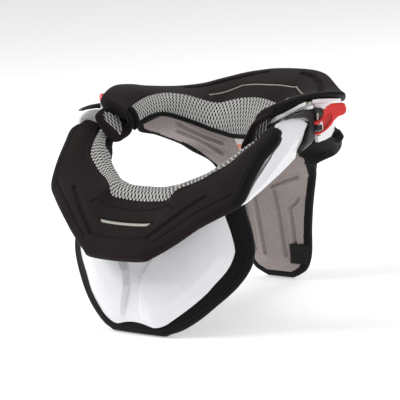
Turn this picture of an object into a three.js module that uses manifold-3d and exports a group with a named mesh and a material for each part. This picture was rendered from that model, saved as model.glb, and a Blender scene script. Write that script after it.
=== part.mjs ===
// Neck brace for riders: a padded ring that opens at the front half, with a chest pad and a back panel.
// Millimetres, +Z up, the front faces -Y and the wearer's left is +X.
import * as THREE from "three";
import { mergeVertices } from "three/addons/utils/BufferGeometryUtils.js";
import Module from "manifold-3d";

const wasm = await Module();
wasm.setup();

// Driving dimensions
const GAP = 0.4; // clearance between neighbouring pieces
const STEPS = 36; // sections along each padded half ring
const FRONT_PAD = { thick: 7.4, crown: 4, round: 3 };
const REAR_PAD = { thick: 8.5, crown: 3, round: 3 };
const FRONT_ROLL = { rise: 2.5, bulge: 2.5, depth: 11 };
const REAR_FACE = { bulge: 3, depth: 8, lift: 3 };
const FRONT_PLATE = { near: 0.3, front: 0.62, far: 0.8, bend: 92, reach: 112, thick: 3 };
const REAR_PLATE_THICK = 3;
const APRON_THICK = 3.5;
const CHEST_PAD_THICK = 8;
const CHEST_PLATE = { thick: 3, lobe: 5, channel: 0.16, fullness: 0.8 };
const BACK_PANEL_THICK = 8;
const PANEL = { cells: 12, curve: 2.4, back: 0.93 }; // cells across, bend of a row, width of the back sheet
const STRIP = { half: 28, wide: 4.4, thick: 0.8, share: 0.45 };
const PIPING = { half: 45, radius: 0.8, sides: 6, middle: 0.32, side: 0.4, bend: 26 };
const FLAP = { front: 11, back: 35, thick: 4.4, corner: 1.6 };
const WINDOW = { front: 14, back: 28, low: 0.2, high: 0.86, thick: 1.2, sink: -0.3 };
const SEAT = 0.6; // room round the rear cushion where the chassis, the ears and the panel meet it
const BOLT = { x: 117, y: 57.6, low: 177, shank: 2, hole: 2.4, head: 4.4, rise: 3 };
const EYE = { low: 177.6, high: 182, radius: 4, inner: 113.4, outer: 117.4, root: 40 };
const LUG = { low: 188.6, high: 191.6, radius: 5.4, inner: 106, head: 12 };
const PIN = { x: 123.5, y: 63, low: 163, high: 188.6, radius: 1.5, hole: 1.9, head: 1.9, rise: 1.2 };
const CLAMP = { inner: 113, hood: 117.8, edge: 119.4, outer: 122.4, skin: 0.7, back: 47 };
const KNUCKLE = { low: 168.5, high: 172.8, radius: 3.4, root: 117 };
const CAP = { low: 184.4, high: 188, radius: 4.4, root: 116 };
const LEVER = { turn: 32, half: 3, bevel: 0.8 }; // turned back from straight out to the side, in degrees
const ARM_SHAPE = { bevel: 3.5, lip: 2.2, drop: 0.6, shoulder: 0.4, end: 49.4 };
const ARM_ROOM = { inside: 4, before: 30, below: 10, outside: 8, behind: 2 };

// Front half ring from the middle to the wearer's left: neck rim, seam of the mesh, outer edge of the pad
const FRONT = [
  { rim: [0, -33, 129.5], seam: [0, -46, 118.5], edge: [0, -90, 77.5] },
  { rim: [18, -33.5, 130], seam: [20, -46, 119.5], edge: [22, -89.5, 78] },
  { rim: [30, -30.5, 132], seam: [33, -45.5, 122], edge: [42, -84.2, 82.3] },
  { rim: [40, -26, 134], seam: [40, -40, 130], edge: [60, -75.5, 93.5] },
  { rim: [50, -19, 137.5], seam: [50, -33, 134], edge: [80, -65, 107.6] },
  { rim: [60, -12.4, 142], seam: [60, -29, 138], edge: [100, -52, 118.4] },
  { rim: [68, -6.5, 147], seam: [70, -24, 144], edge: [112, -42, 126] },
  { rim: [74.5, 3, 153.5], seam: [79, -16, 150.5], edge: [116, -28, 143] },
  { rim: [80.5, 10, 158.5], seam: [85, -5, 158], edge: [119.4, -10, 160] },
  { rim: [86.5, 19, 164], seam: [90.5, 8, 164.5], edge: [121.6, 2.4, 170] },
  { rim: [92, 24, 168], seam: [95, 19, 169.5], edge: [115.4, 14.4, 175.4] },
];

// Rear half ring: low rim of the mesh, seam at its top, upper and lower edge of the pad
const REAR = [
  { low: [0, 105, 149], seam: [0, 132, 182], edge: [0, 196, 200.5], under: [0, 195, 191.5] },
  { low: [11, 104, 150], seam: [14, 130.4, 181.2], edge: [20, 195.4, 200.1], under: [20, 194, 191] },
  { low: [21, 102, 153], seam: [26.6, 127.5, 179], edge: [35, 193.4, 198.7], under: [35, 192.2, 189.6] },
  { low: [31, 98.6, 156.4], seam: [36, 123.6, 177], edge: [50, 184.6, 197], under: [50, 183.6, 187.4] },
  { low: [39, 94.3, 160.7], seam: [44, 119, 178.5], edge: [68, 169.2, 193.2], under: [68, 168, 183.4] },
  { low: [46.6, 89, 165], seam: [52, 113.5, 182], edge: [84, 155, 189.8], under: [84, 154, 180.8] },
  { low: [53.5, 83, 169], seam: [62.5, 104, 187.4], edge: [104, 134, 189.8], under: [104, 133, 182] },
  { low: [59.7, 76, 173], seam: [72.7, 91, 191.2], edge: [123.4, 108.4, 193.5], under: [122.6, 107.6, 190] },
  { low: [64, 69.5, 174.8], seam: [78, 81, 191.6], edge: [129, 97, 197], under: [128, 95, 192.5] },
  { low: [68, 63, 174.5], seam: [82, 72, 190.8], edge: [124, 75, 199.8], under: [123, 75, 195] },
  { low: [71, 55.5, 172.8], seam: [83.5, 62, 188.8], edge: [118, 58, 200], under: [118, 58, 195.6] },
  { low: [73, 49.5, 170.5], seam: [82.5, 52, 186.8], edge: [112, 46, 199], under: [114, 44.5, 193] },
  { low: [74.5, 43, 167.5], seam: [80, 42, 185], edge: [107, 36.5, 197], under: [110, 34.5, 189.5] },
  { low: [75, 36, 165], seam: [77, 34.5, 183], edge: [101, 31, 195], under: [103, 29.5, 186.5] },
];

// Reach of the plate under the rear pad at the same sections, as shares across
const REAR_PLATE = [
  { near: 0.03, far: 0.9 },
  { near: 0.03, far: 0.9 },
  { near: 0.03, far: 0.9 },
  { near: 0.03, far: 0.9 },
  { near: 0.03, far: 0.9 },
  { near: 0.1, far: 0.9 },
  { near: 0.3, far: 0.9 },
  { near: 0.45, far: 0.93 },
  { near: 0.45, far: 0.93 },
  { near: 0.45, far: 1 },
  { near: 0.45, far: 1.06 },
  { near: 0.45, far: 1.06 },
  { near: 0.5, far: 1.02 },
  { near: 0.6, far: 0.95 },
];

// Apron of the rear chassis: its foot and its head, from the middle to the side
const APRON = [
  { foot: [0, 127.6, 144], head: [0, 137, 175] },
  { foot: [30, 126.6, 144], head: [30, 134, 173] },
  { foot: [55, 125.5, 146], head: [55, 130, 175] },
  { foot: [80, 121.5, 150.5], head: [80, 123, 180] },
  { foot: [97, 114, 155], head: [97, 114, 184] },
  { foot: [110, 105, 159], head: [110, 105, 187] },
  { foot: [118, 94, 162], head: [118, 94, 190] },
  { foot: [120, 84, 157.5], head: [119.5, 84, 192] },
  { foot: [120, 66, 156.5], head: [119, 66, 193] },
];

// Back panel from the floor up: middle line, outline on the wearer's left, rise of the row half way across
const BACK = [
  { middle: [0, 151, 0], edge: [15, 151, 0], hump: 0 },
  { middle: [0, 150, 4], edge: [23.5, 150, 4], hump: 0 },
  { middle: [0, 148.5, 10], edge: [31.5, 149, 10], hump: 0 },
  { middle: [0, 146, 25], edge: [39, 149, 25], hump: 0 },
  { middle: [0, 142, 52], edge: [44, 146, 52], hump: 0 },
  { middle: [0, 138, 78], edge: [49, 142.5, 78], hump: 0 },
  { middle: [0, 133.5, 100], edge: [55.5, 139.5, 104], hump: 0 },
  { middle: [0, 130, 112], edge: [69, 132.6, 119.6], hump: 0 },
  { middle: [0, 127, 120], edge: [83, 128.5, 127], hump: 2 },
  { middle: [0, 124, 127], edge: [99, 126, 135], hump: 5 },
  { middle: [0, 121, 134], edge: [112, 110, 145], hump: 8 },
  { middle: [0, 118.5, 141], edge: [120, 98, 149], hump: 12 },
  { middle: [0, 116.5, 147], edge: [119, 93, 154], hump: 16 },
];

// Chest pad and chest plate from the floor up: middle line of the front face, then the outline
const CHEST = [
  { middle: [0, -66, 0], edge: [30, -65, 0] },
  { middle: [0, -66, 6], edge: [44.5, -62.2, 6] },
  { middle: [0, -65.5, 16], edge: [63, -53.8, 15.5] },
  { middle: [0, -64.5, 30], edge: [80.6, -44.2, 30] },
  { middle: [0, -62, 44], edge: [95.4, -33.8, 45] },
  { middle: [0, -59.5, 58], edge: [104.6, -26.2, 60] },
  { middle: [0, -57, 70], edge: [106.8, -21.2, 75] },
  { middle: [0, -55, 78], edge: [103, -18, 92] },
  { middle: [0, -53, 84], edge: [97, -17, 110] },
];
const SHELL = [
  { middle: [0, -69.6, 12], edge: [24, -68.4, 8] },
  { middle: [0, -69.2, 18], edge: [42, -64.5, 17] },
  { middle: [0, -68.2, 28], edge: [61, -56.5, 31] },
  { middle: [0, -66.2, 41], edge: [77, -46.6, 46] },
  { middle: [0, -63.8, 54], edge: [89, -38.6, 60] },
  { middle: [0, -61.4, 65], edge: [93, -33.6, 74] },
  { middle: [0, -58.6, 79], edge: [90, -32, 89] },
  { middle: [0, -55.6, 91], edge: [85, -32, 104] },
];

// Side arm from its front point to its end at the bolt: inner and outer face, lean of the top, its heights
const ARM = [
  { y: -40, inner: 101.5, outer: 109.5, lean: 1.5, top: 121.6, ridge: 119.6, low: 118 },
  { y: -31, inner: 106, outer: 114, lean: 2, top: 130, ridge: 125.6, low: 121 },
  { y: -15, inner: 110, outer: 118, lean: 2, top: 144, ridge: 135.4, low: 128.6 },
  { y: -2, inner: 112, outer: 120, lean: 2, top: 155, ridge: 143.6, low: 134.4 },
  { y: 3, inner: 112.6, outer: 120.4, lean: 2.5, top: 161, ridge: 147, low: 136.4 },
  { y: 7, inner: 112.8, outer: 120.6, lean: 4, top: 173, ridge: 149.6, low: 137.8 },
  { y: 9, inner: 113, outer: 120.8, lean: 5, top: 179.6, ridge: 151, low: 138.6 },
  { y: 14, inner: 113, outer: 121, lean: 5, top: 182.8, ridge: 154, low: 140.6 },
  { y: 24, inner: 113, outer: 121, lean: 4.5, top: 184.3, ridge: 160, low: 144.5 },
  { y: 33.5, inner: 113, outer: 121, lean: 4, top: 183.7, ridge: 165, low: 148.6 },
  { y: 37, inner: 113, outer: 121, lean: 4, top: 183.2, ridge: 167, low: 155 },
  { y: 44.5, inner: 113, outer: 121, lean: 3.5, top: 181.8, ridge: 171, low: 161 },
  { y: 47.6, inner: 113, outer: 121, lean: 3, top: 180.6, ridge: 174, low: 167.4 },
  { y: 51.2, inner: 114, outer: 120.6, lean: 2, top: 177.4, ridge: 176, low: 174 },
];

// Clamp block seen from the side, as points (y, z): up along the arm's end, over it, and down the back
const CLAMP_OUTLINE = [
  [36.2, 152.6],
  [39.2, 156.2],
  [46.2, 160.8],
  [49.2, 166.8],
  [52.6, 173.2],
  [52.4, 177.6],
  [48.6, 181.4],
  [44.8, 182.6],
  [37, 184.2],
  [24, 185.4],
  [16.4, 185.2],
  [17.4, 186.6],
  [24, 187.7],
  [33, 188.2],
  [44, 187.7],
  [52, 187.2],
  [62, 187.2],
  [66, 187],
  [73, 186],
  [75.4, 184],
  [74, 179.6],
  [69, 176.6],
  [64.2, 174],
  [61.6, 168],
  [61.2, 164.2],
  [62.6, 162],
  [56, 157],
  [48, 154.6],
  [41.4, 153],
];
// Its outer face: the same points, with the last ones, along the lower back edge, drawn in
const CLAMP_DRAWN = [
  [-2.6, 0.6],
  [-3, 1],
  [-4.4, 1.6],
  [-4, 2.6],
  [-3.2, 2.6],
  [-2.6, 1.8],
];
const CLAMP_FACE = CLAMP_OUTLINE.map(([y, z], i) => {
  const [back, up] = CLAMP_DRAWN[i - CLAMP_OUTLINE.length + CLAMP_DRAWN.length] ?? [0, 0];
  return [y + back, z + up];
});

// Lever in its own upright plane, as points (out from the pin, z), round the outside and then round the fork
const LEVER_OUTLINE = [
  [-3.6, 164.2],
  [0, 164.6],
  [4, 166.3],
  [8.5, 169.5],
  [12.2, 173],
  [14.3, 176.3],
  [18.5, 179.8],
  [23, 181.2],
  [25.3, 182.8],
  [26, 186.6],
  [24.9, 190.4],
  [22, 191.6],
  [13, 191.4],
  [8, 189],
  [5.6, 186.8],
  [5, 182.6],
  [2.8, 179.2],
  [0, 177.2],
  [-3.6, 177],
  [-3.6, 173.3],
  [0, 173.8],
  [3.6, 176.6],
  [11.3, 183.3],
  [12.3, 181.5],
  [12.3, 178],
  [9.3, 173.6],
  [4.4, 168.6],
  [2.6, 167.6],
  [0, 166.8],
  [-3.6, 166.5],
];

const FLAP_LOW = [75, 160.5]; // inner foot of the ear, as (x, z)
const FLAP_HIGH = [92.5, 185]; // its outer top

// Small sewn pieces on the lining: rows of the panel, shares across and how far they stand off
const TAB = { from: 0.213, to: 0.29, near: 0.48, far: 0.95, thick: 1.6 };
const LABEL = { from: 0.82, to: 0.95, near: -0.13, far: -0.05, thick: 0.6 };
const PATCH_SHARES = [0, 0.33, 0.67, 1];

const black = { color: 0x2a2423, roughness: 0.85, metalness: 0 };
const bound = { color: 0x1c1c1c, roughness: 0.9, metalness: 0 };
const meshGrey = { color: 0xa9a9a5, roughness: 0.9, metalness: 0 };
const taupe = { color: 0x978d8a, roughness: 0.85, metalness: 0 };
const white = { color: 0xf1f1f5, roughness: 0.3, metalness: 0 };
const red = { color: 0xe3241f, roughness: 0.35, metalness: 0 };
const graphite = { color: 0x2f2f2f, roughness: 0.45, metalness: 0 };
const steel = { color: 0xb8b4ac, roughness: 0.25, metalness: 1 };
const pale = { color: 0xb9bbb0, roughness: 0.5, metalness: 0 };

const UP = new THREE.Vector3(0, 0, 1);
const point = (x, y, z) => new THREE.Vector3(x, y, z);
const mix = (a, b, t) => a.clone().lerp(b, t);
const between = (a, b, t) => a + (b - a) * t;
function moved(from, ...steps) {
  return steps.reduce((p, [direction, length]) => p.addScaledVector(direction, length), from.clone());
}

// Smooth values down each named column of a table, with the other side mirrored in when asked
function smooth(rows, steps, { bothSides = false, from = 0, to = 1 } = {}) {
  const names = Object.keys(rows[0]);
  const curves = names.map((name) => {
    const half = rows.map((row) => (Array.isArray(row[name]) ? point(...row[name]) : point(0, row[name], 0)));
    const other = half.slice(1).reverse().map((p) => point(-p.x, p.y, p.z));
    return new THREE.CatmullRomCurve3(bothSides ? [...other, ...half] : half, false, "catmullrom", 0.5);
  });
  const valueAt = (k, t) => {
    const p = curves[k].getPoint(t);
    return Array.isArray(rows[0][names[k]]) ? p : p.y;
  };
  return Array.from({ length: steps + 1 }, (_, i) =>
    Object.fromEntries(names.map((name, k) => [name, valueAt(k, between(from, to, i / steps))])),
  );
}

// Directions at each section: across from its inner to its outer point, and up from the surface between them
function directions(sections, inner, outer) {
  return sections.map((section, i) => {
    const before = sections[Math.max(i - 1, 0)];
    const after = sections[Math.min(i + 1, sections.length - 1)];
    const across = section[outer].clone().sub(section[inner]).normalize();
    const along = mix(after[inner], after[outer], 0.5).sub(mix(before[inner], before[outer], 0.5));
    const up = along.cross(across).normalize();
    if (up.z < 0) up.negate();
    return { across, up };
  });
}

function geometryFrom(positions, index) {
  const geometry = new THREE.BufferGeometry();
  geometry.setAttribute("position", new THREE.Float32BufferAttribute(positions, 3));
  geometry.setIndex(index);
  return geometry;
}

// Turns the faces of a closed body outwards
function outward(geometry) {
  const place = geometry.getAttribute("position");
  const index = geometry.getIndex().array;
  const corners = [point(), point(), point()];
  let volume = 0;
  for (let i = 0; i < index.length; i += 3) {
    corners.forEach((p, k) => p.fromBufferAttribute(place, index[i + k]));
    volume += corners[0].dot(corners[1].cross(corners[2]));
  }
  if (volume < 0) {
    for (let i = 0; i < index.length; i += 3) {
      [index[i], index[i + 1]] = [index[i + 1], index[i]];
    }
  }
  return geometry;
}

const centreOf = (ring) => ring.reduce((sum, p) => sum.add(p), point(0, 0, 0)).divideScalar(ring.length);

// A closed body through rings of points, with a fan over each end
function loft(rings) {
  const count = rings[0].length;
  const positions = rings.flatMap((ring) => ring.flatMap((p) => [p.x, p.y, p.z]));
  const index = [];
  for (let i = 0; i < rings.length - 1; i++) {
    for (let j = 0; j < count; j++) {
      const a = i * count + j;
      const b = i * count + ((j + 1) % count);
      index.push(a, b, b + count, a, b + count, a + count);
    }
  }
  for (const [start, turned] of [
    [0, true],
    [(rings.length - 1) * count, false],
  ]) {
    const middle = centreOf(rings[start / count]);
    const hub = positions.length / 3;
    positions.push(middle.x, middle.y, middle.z);
    for (let j = 0; j < count; j++) {
      const pair = [start + j, start + ((j + 1) % count)];
      index.push(hub, ...(turned ? pair.reverse() : pair));
    }
  }
  return outward(geometryFrom(positions, index));
}

// The same rings a little larger all round, to cut room for a piece in its neighbour
function grown(rings, by) {
  const last = rings.length - 1;
  return rings.map((ring, i) => {
    const count = ring.length;
    const middle = centreOf(ring);
    const facing = point(0, 0, 0);
    ring.forEach((p, j) => {
      const next = ring[(j + 1) % count];
      facing.add(p.clone().sub(middle).cross(next.clone().sub(middle)));
    });
    facing.normalize();
    const sideOf = (j) => ring[(j + 1) % count].clone().sub(ring[j]).cross(facing).normalize();
    const shift = point(0, 0, 0);
    if (i === 0 && last > 0) shift.copy(middle).sub(centreOf(rings[1])).setLength(by);
    if (i === last && last > 0) shift.copy(middle).sub(centreOf(rings[last - 1])).setLength(by);
    return ring.map((p, j) => {
      const [one, two] = [sideOf((j + count - 1) % count), sideOf(j)];
      const mitre = one.clone().add(two).divideScalar(Math.max(0.4, 1 + one.dot(two)));
      return p.clone().addScaledVector(mitre, by).add(shift);
    });
  });
}

// A closed geometry as a solid for joins and cuts, and back again
function solid(geometry) {
  const bare = geometry.clone();
  bare.deleteAttribute("normal");
  bare.deleteAttribute("uv");
  const merged = mergeVertices(bare, 1e-3);
  return new wasm.Manifold(
    new wasm.Mesh({
      numProp: 3,
      vertProperties: new Float32Array(merged.getAttribute("position").array),
      triVerts: new Uint32Array(merged.getIndex().array),
    }),
  );
}

function geometryOf(body) {
  const mesh = body.getMesh();
  return geometryFrom(Array.from(mesh.vertProperties), Array.from(mesh.triVerts));
}

const mirror = (geometry) => outward(geometry.clone().applyMatrix4(new THREE.Matrix4().makeScale(-1, 1, 1)));
const bothSides = (geometry) => solid(geometry).add(solid(mirror(geometry)));

function cylinder({ x, y }, low, high, radius) {
  const upright = new THREE.CylinderGeometry(radius, radius, high - low, 18).rotateX(Math.PI / 2);
  return upright.translate(x, y, (low + high) / 2);
}

function block(low, high) {
  const size = high.map((value, k) => value - low[k]);
  const middle = high.map((value, k) => (value + low[k]) / 2);
  return new THREE.BoxGeometry(...size).translate(...middle);
}

// Section of a table pad: crowned top, rounded outer edge, flat underside
function padRing({ seam, edge, under }, { across, up }, { thick, crown, round }) {
  const inner = moved(seam, [across, GAP]);
  return [
    inner,
    moved(mix(seam, edge, 0.25), [up, crown * 0.75]),
    moved(mix(seam, edge, 0.5), [up, crown]),
    moved(mix(seam, edge, 0.75), [up, crown * 0.8]),
    moved(edge, [across, -round], [up, crown * 0.15]),
    moved(edge, [up, -round * 0.5]),
    mix(under, edge, 0.25),
    moved(under, [across, -round]),
    mix(moved(inner, [UP, -thick]), under, 0.5),
    moved(inner, [UP, -thick]),
  ];
}

const frontSections = smooth(FRONT, STEPS, { bothSides: true });
const frontTurns = directions(frontSections, "seam", "edge");
const frontPadRings = frontSections.map(({ seam, edge }, i) =>
  padRing({ seam, edge, under: moved(edge, [frontTurns[i].up, -FRONT_PAD.thick]) }, frontTurns[i], FRONT_PAD),
);

// Mesh roll round the front of the neck opening: over the rim and down its inner side
const frontCollarRings = frontSections.map(({ rim, seam }, i) => {
  const { rise, bulge, depth } = FRONT_ROLL;
  const { up } = frontTurns[i];
  const inwards = rim.clone().sub(seam).normalize();
  return [
    seam,
    moved(mix(seam, rim, 0.4), [up, rise]),
    moved(mix(seam, rim, 0.8), [up, rise * 0.8]),
    moved(rim, [inwards, bulge * 0.5], [UP, -1]),
    moved(rim, [inwards, bulge], [UP, -depth * 0.45]),
    moved(rim, [UP, -depth]),
    moved(seam, [UP, -FRONT_PAD.thick]),
  ];
});

// The sections whose seam lies within a distance of the middle
function within(sections, turns, half) {
  const kept = sections.map((_, i) => i).filter((i) => Math.abs(sections[i].seam.x) <= half);
  return kept.map((i) => ({ ...sections[i], ...turns[i] }));
}

// Reflective strip lying on the front pad
const stripRings = within(frontSections, frontTurns, STRIP.half).map(({ seam, edge, across, up }) => {
  const foot = moved(mix(seam, edge, STRIP.share), [up, FRONT_PAD.crown + GAP]);
  const half = STRIP.wide / 2;
  return [
    moved(foot, [across, -half]),
    moved(foot, [across, half]),
    moved(foot, [across, half * 0.8], [up, STRIP.thick]),
    moved(foot, [across, -half * 0.8], [up, STRIP.thick]),
  ];
});

// Arm section: flat inner side, thin top lip, ridge and a bevel down to the lower edge
function armRing({ y, inner, outer, lean, top, ridge, low }) {
  const { bevel, lip, drop, shoulder } = ARM_SHAPE;
  return [
    point(inner, y, low),
    point(outer - bevel, y, low),
    point(outer, y, ridge),
    point(outer - lean * 0.6, y, between(ridge, top, 0.7)),
    point(outer - lean, y, top),
    point(Math.max(inner, outer - lean - lip), y, top - drop),
    point(inner, y, between(ridge, top, shoulder)),
  ];
}

// One arm with its eye: open to the rear on the left so that it lifts off, and on the right round the bolt,
// with the bar cut short so that it turns clear of the clamp
function arm(open) {
  const reach = EYE.radius * 2;
  const eye = solid(cylinder(BOLT, EYE.low, EYE.high, EYE.radius));
  const root = solid(block([EYE.inner, EYE.root, EYE.low], [EYE.outer, BOLT.y, EYE.high]));
  const bore = solid(cylinder(BOLT, EYE.low - reach, EYE.high + reach, BOLT.hole));
  const slot = solid(
    block(
      [BOLT.x - BOLT.hole, BOLT.y, EYE.low - reach],
      [BOLT.x + BOLT.hole, BOLT.y + reach, EYE.high + reach],
    ),
  );
  const bar = solid(loft(ARM.map(armRing)));
  const spare = solid(
    block([EYE.inner - reach, ARM_SHAPE.end, EYE.low - 2 * reach], [EYE.outer + reach, BOLT.y, EYE.high]),
  );
  const whole = (open ? bar : bar.subtract(spare)).add(eye).add(root).subtract(bore);
  return geometryOf(open ? whole.subtract(slot) : whole);
}

// Plate under the front pad, joined to both arms
const frontPlateRings = frontSections.map(({ seam, edge }, i) => {
  const { up } = frontTurns[i];
  const depth = FRONT_PAD.thick + GAP;
  const near = moved(mix(seam, edge, FRONT_PLATE.near), [up, -depth]);
  const outwards = (Math.abs(edge.x) - FRONT_PLATE.bend) / (FRONT_PLATE.reach - FRONT_PLATE.bend);
  const share = between(FRONT_PLATE.front, FRONT_PLATE.far, Math.min(1, Math.max(0, outwards)));
  const far = moved(mix(seam, edge, share), [up, -depth]);
  return [near, far, moved(far, [up, -FRONT_PLATE.thick]), moved(near, [up, -FRONT_PLATE.thick])];
});

function frontChassis() {
  const whole = solid(loft(frontPlateRings)).add(solid(arm(true))).add(solid(mirror(arm(false))));
  const room = solid(loft(grown(frontPadRings, GAP))).add(solid(loft(grown(frontCollarRings, GAP))));
  return geometryOf(whole.subtract(room));
}

// Points of a curved panel: each row runs from the middle line to the outline, on both sides
function panelPoint({ middle, edge, hump = 0 }, share, offset) {
  const reach = Math.abs(share);
  const rise = between(middle.z, edge.z, reach ** 2) + hump * Math.sin(Math.PI * Math.min(1, reach));
  const y = between(middle.y, edge.y, reach ** PANEL.curve);
  return point(edge.x * share, y + offset, Math.max(rise, 0));
}

function panelRings(rows, steps, thick, offset = () => 0) {
  const shares = Array.from({ length: PANEL.cells + 1 }, (_, j) => (2 * j) / PANEL.cells - 1);
  return smooth(rows, steps).map((row) => {
    const front = shares.map((share) => panelPoint(row, share, offset(Math.abs(share))));
    const back = shares.map((share) => panelPoint(row, share * PANEL.back, offset(Math.abs(share)) + thick));
    return [...front, ...back.reverse()];
  });
}

// A small sewn piece lying on the front of a panel
function patch(rows, { from, to, near, far, thick }) {
  return loft(
    smooth(rows, 4, { from, to }).map((row) => {
      const shares = PATCH_SHARES.map((t) => between(near, far, t));
      const back = shares.map((share) => panelPoint(row, share, -GAP));
      const front = shares.map((share) => panelPoint(row, share, -GAP - thick));
      return [...front, ...back.reverse()];
    }),
  );
}

const chestPadRings = panelRings(CHEST, 11, CHEST_PAD_THICK);

// White shell with a lobe on each side of the waisted channel
function chestPlate() {
  const { thick, lobe, channel, fullness } = CHEST_PLATE;
  const swell = (reach) => {
    const t = Math.min(1, Math.max(0, (reach - channel) / (1 - channel)));
    return -lobe * Math.sin(Math.PI * t ** fullness) ** fullness;
  };
  const shell = solid(loft(panelRings(SHELL, 10, thick, swell)));
  const room = solid(loft(grown(chestPadRings, GAP))).add(solid(loft(grown(frontPlateRings, GAP))));
  return geometryOf(shell.subtract(room));
}

const rearSections = smooth(REAR, STEPS, { bothSides: true });
const rearTurns = directions(rearSections, "seam", "edge");
const faceTurns = directions(rearSections, "low", "seam");
const rearPadRings = rearSections.map((section, i) => padRing(section, rearTurns[i], REAR_PAD));

// Rear pad with a pocket in its underside over the head of each bolt
function rearPad() {
  const top = LUG.high + BOLT.rise + 2 * GAP;
  const pocket = cylinder(BOLT, LUG.low, top, BOLT.head + GAP);
  return geometryOf(solid(loft(rearPadRings)).subtract(bothSides(pocket)));
}

// Mesh face of the rear cushion, bulged towards the neck, with a soft back under the pad
const rearCollarRings = rearSections.map(({ low, seam }, i) => {
  const { bulge, depth, lift } = REAR_FACE;
  const inwards = faceTurns[i].up;
  return [
    seam,
    moved(mix(seam, low, 0.33), [inwards, bulge * 0.9]),
    moved(mix(seam, low, 0.7), [inwards, bulge]),
    low,
    moved(low, [inwards, -depth], [UP, lift]),
    moved(seam, [UP, -REAR_PAD.thick - GAP]),
  ];
});

// Piping that runs parallel to the mesh and bends forward at both ends
const pipingRings = within(rearSections, rearTurns, PIPING.half).map(({ seam, edge, across, up }) => {
  const { radius, sides, middle, side, bend } = PIPING;
  const share = between(middle, side, Math.min(1, Math.abs(seam.x) / bend));
  const axis = moved(mix(seam, edge, share), [up, REAR_PAD.crown + radius + GAP]);
  return Array.from({ length: sides }, (_, k) => {
    const angle = (2 * Math.PI * k) / sides;
    return moved(axis, [across, radius * Math.cos(angle)], [up, radius * Math.sin(angle)]);
  });
});

// A slab that leans outwards from the neck, with its front corners cut back
function slabRings({ front, back, low, high, thick, sink }) {
  const foot = point(FLAP_LOW[0], 0, FLAP_LOW[1]);
  const top = point(FLAP_HIGH[0], 0, FLAP_HIGH[1]);
  const slope = top.clone().sub(foot).normalize();
  const outwards = point(slope.z, 0, -slope.x);
  const rows = [
    [front, 0.1],
    [front + 2, 0],
    [back, 0],
  ];
  return rows.map(([y, trim]) => {
    const start = mix(foot, top, low + trim).setY(y);
    const end = mix(foot, top, high - trim).setY(y);
    return [
      moved(start, [outwards, sink + thick * 0.25]),
      moved(start, [slope, FLAP.corner], [outwards, sink]),
      moved(end, [slope, -FLAP.corner], [outwards, sink]),
      moved(end, [outwards, sink + thick * 0.25]),
      moved(end, [outwards, sink + thick * 0.75]),
      moved(end, [slope, -FLAP.corner], [outwards, sink + thick]),
      moved(start, [slope, FLAP.corner], [outwards, sink + thick]),
      moved(start, [outwards, sink + thick * 0.75]),
    ];
  });
}

const windowRings = slabRings(WINDOW);
const flapRings = slabRings({ ...FLAP, low: 0, high: 1, sink: 0 });
const rearRoom = solid(loft(grown(rearPadRings, SEAT))).add(solid(loft(grown(rearCollarRings, SEAT))));

function ear() {
  return geometryOf(solid(loft(flapRings)).subtract(solid(loft(grown(windowRings, GAP)))).subtract(rearRoom));
}

// A closed body between flat outlines of equal length, one at each distance along X
function prism(outlines, places) {
  const count = outlines[0].length;
  const flat = outlines.map((outline) => outline.map(([y, z]) => new THREE.Vector2(y, z)));
  if (THREE.ShapeUtils.isClockWise(flat[0])) flat.forEach((outline) => outline.reverse());
  const positions = flat.flatMap((outline, i) => outline.flatMap((p) => [places[i], p.x, p.y]));
  const index = [];
  for (let i = 0; i < flat.length - 1; i++) {
    for (let j = 0; j < count; j++) {
      const a = i * count + j;
      const b = i * count + ((j + 1) % count);
      index.push(a, b, b + count, a, b + count, a + count);
    }
  }
  const last = (flat.length - 1) * count;
  for (const face of THREE.ShapeUtils.triangulateShape(flat[0], [])) index.push(...face.reverse());
  for (const face of THREE.ShapeUtils.triangulateShape(flat.at(-1), [])) {
    index.push(...face.map((j) => j + last));
  }
  return geometryFrom(positions, index);
}

// Clamp: a side plate behind the arm's end with a narrow hood over it, a knuckle and a cap for the lever
function clampPlate() {
  const { inner, hood, edge, outer, back } = CLAMP;
  const plate = solid(prism([CLAMP_OUTLINE, CLAMP_OUTLINE, CLAMP_FACE], [inner, edge, outer]));
  return plate.subtract(solid(block([inner - GAP, EYE.root - back, EYE.low], [hood, back, LUG.low])));
}

function clampRoom() {
  const [wider] = grown([CLAMP_OUTLINE.map(([y, z]) => point(y, z, 0))], GAP);
  const outline = wider.map((p) => [p.x, p.y]);
  const hub = CAP.radius + GAP;
  return solid(prism([outline, outline], [CLAMP.inner - GAP, CLAMP.outer + GAP])).add(
    solid(block([CAP.root - GAP, PIN.y - hub, PIN.low], [PIN.x + hub, PIN.y + hub, CAP.high + GAP])),
  );
}

const clampCap = () =>
  solid(cylinder(PIN, CAP.low, CAP.high, CAP.radius)).add(
    solid(block([CAP.root, PIN.y - CAP.radius, CAP.low], [PIN.x, PIN.y + CAP.radius, CAP.high])),
  );

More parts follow.
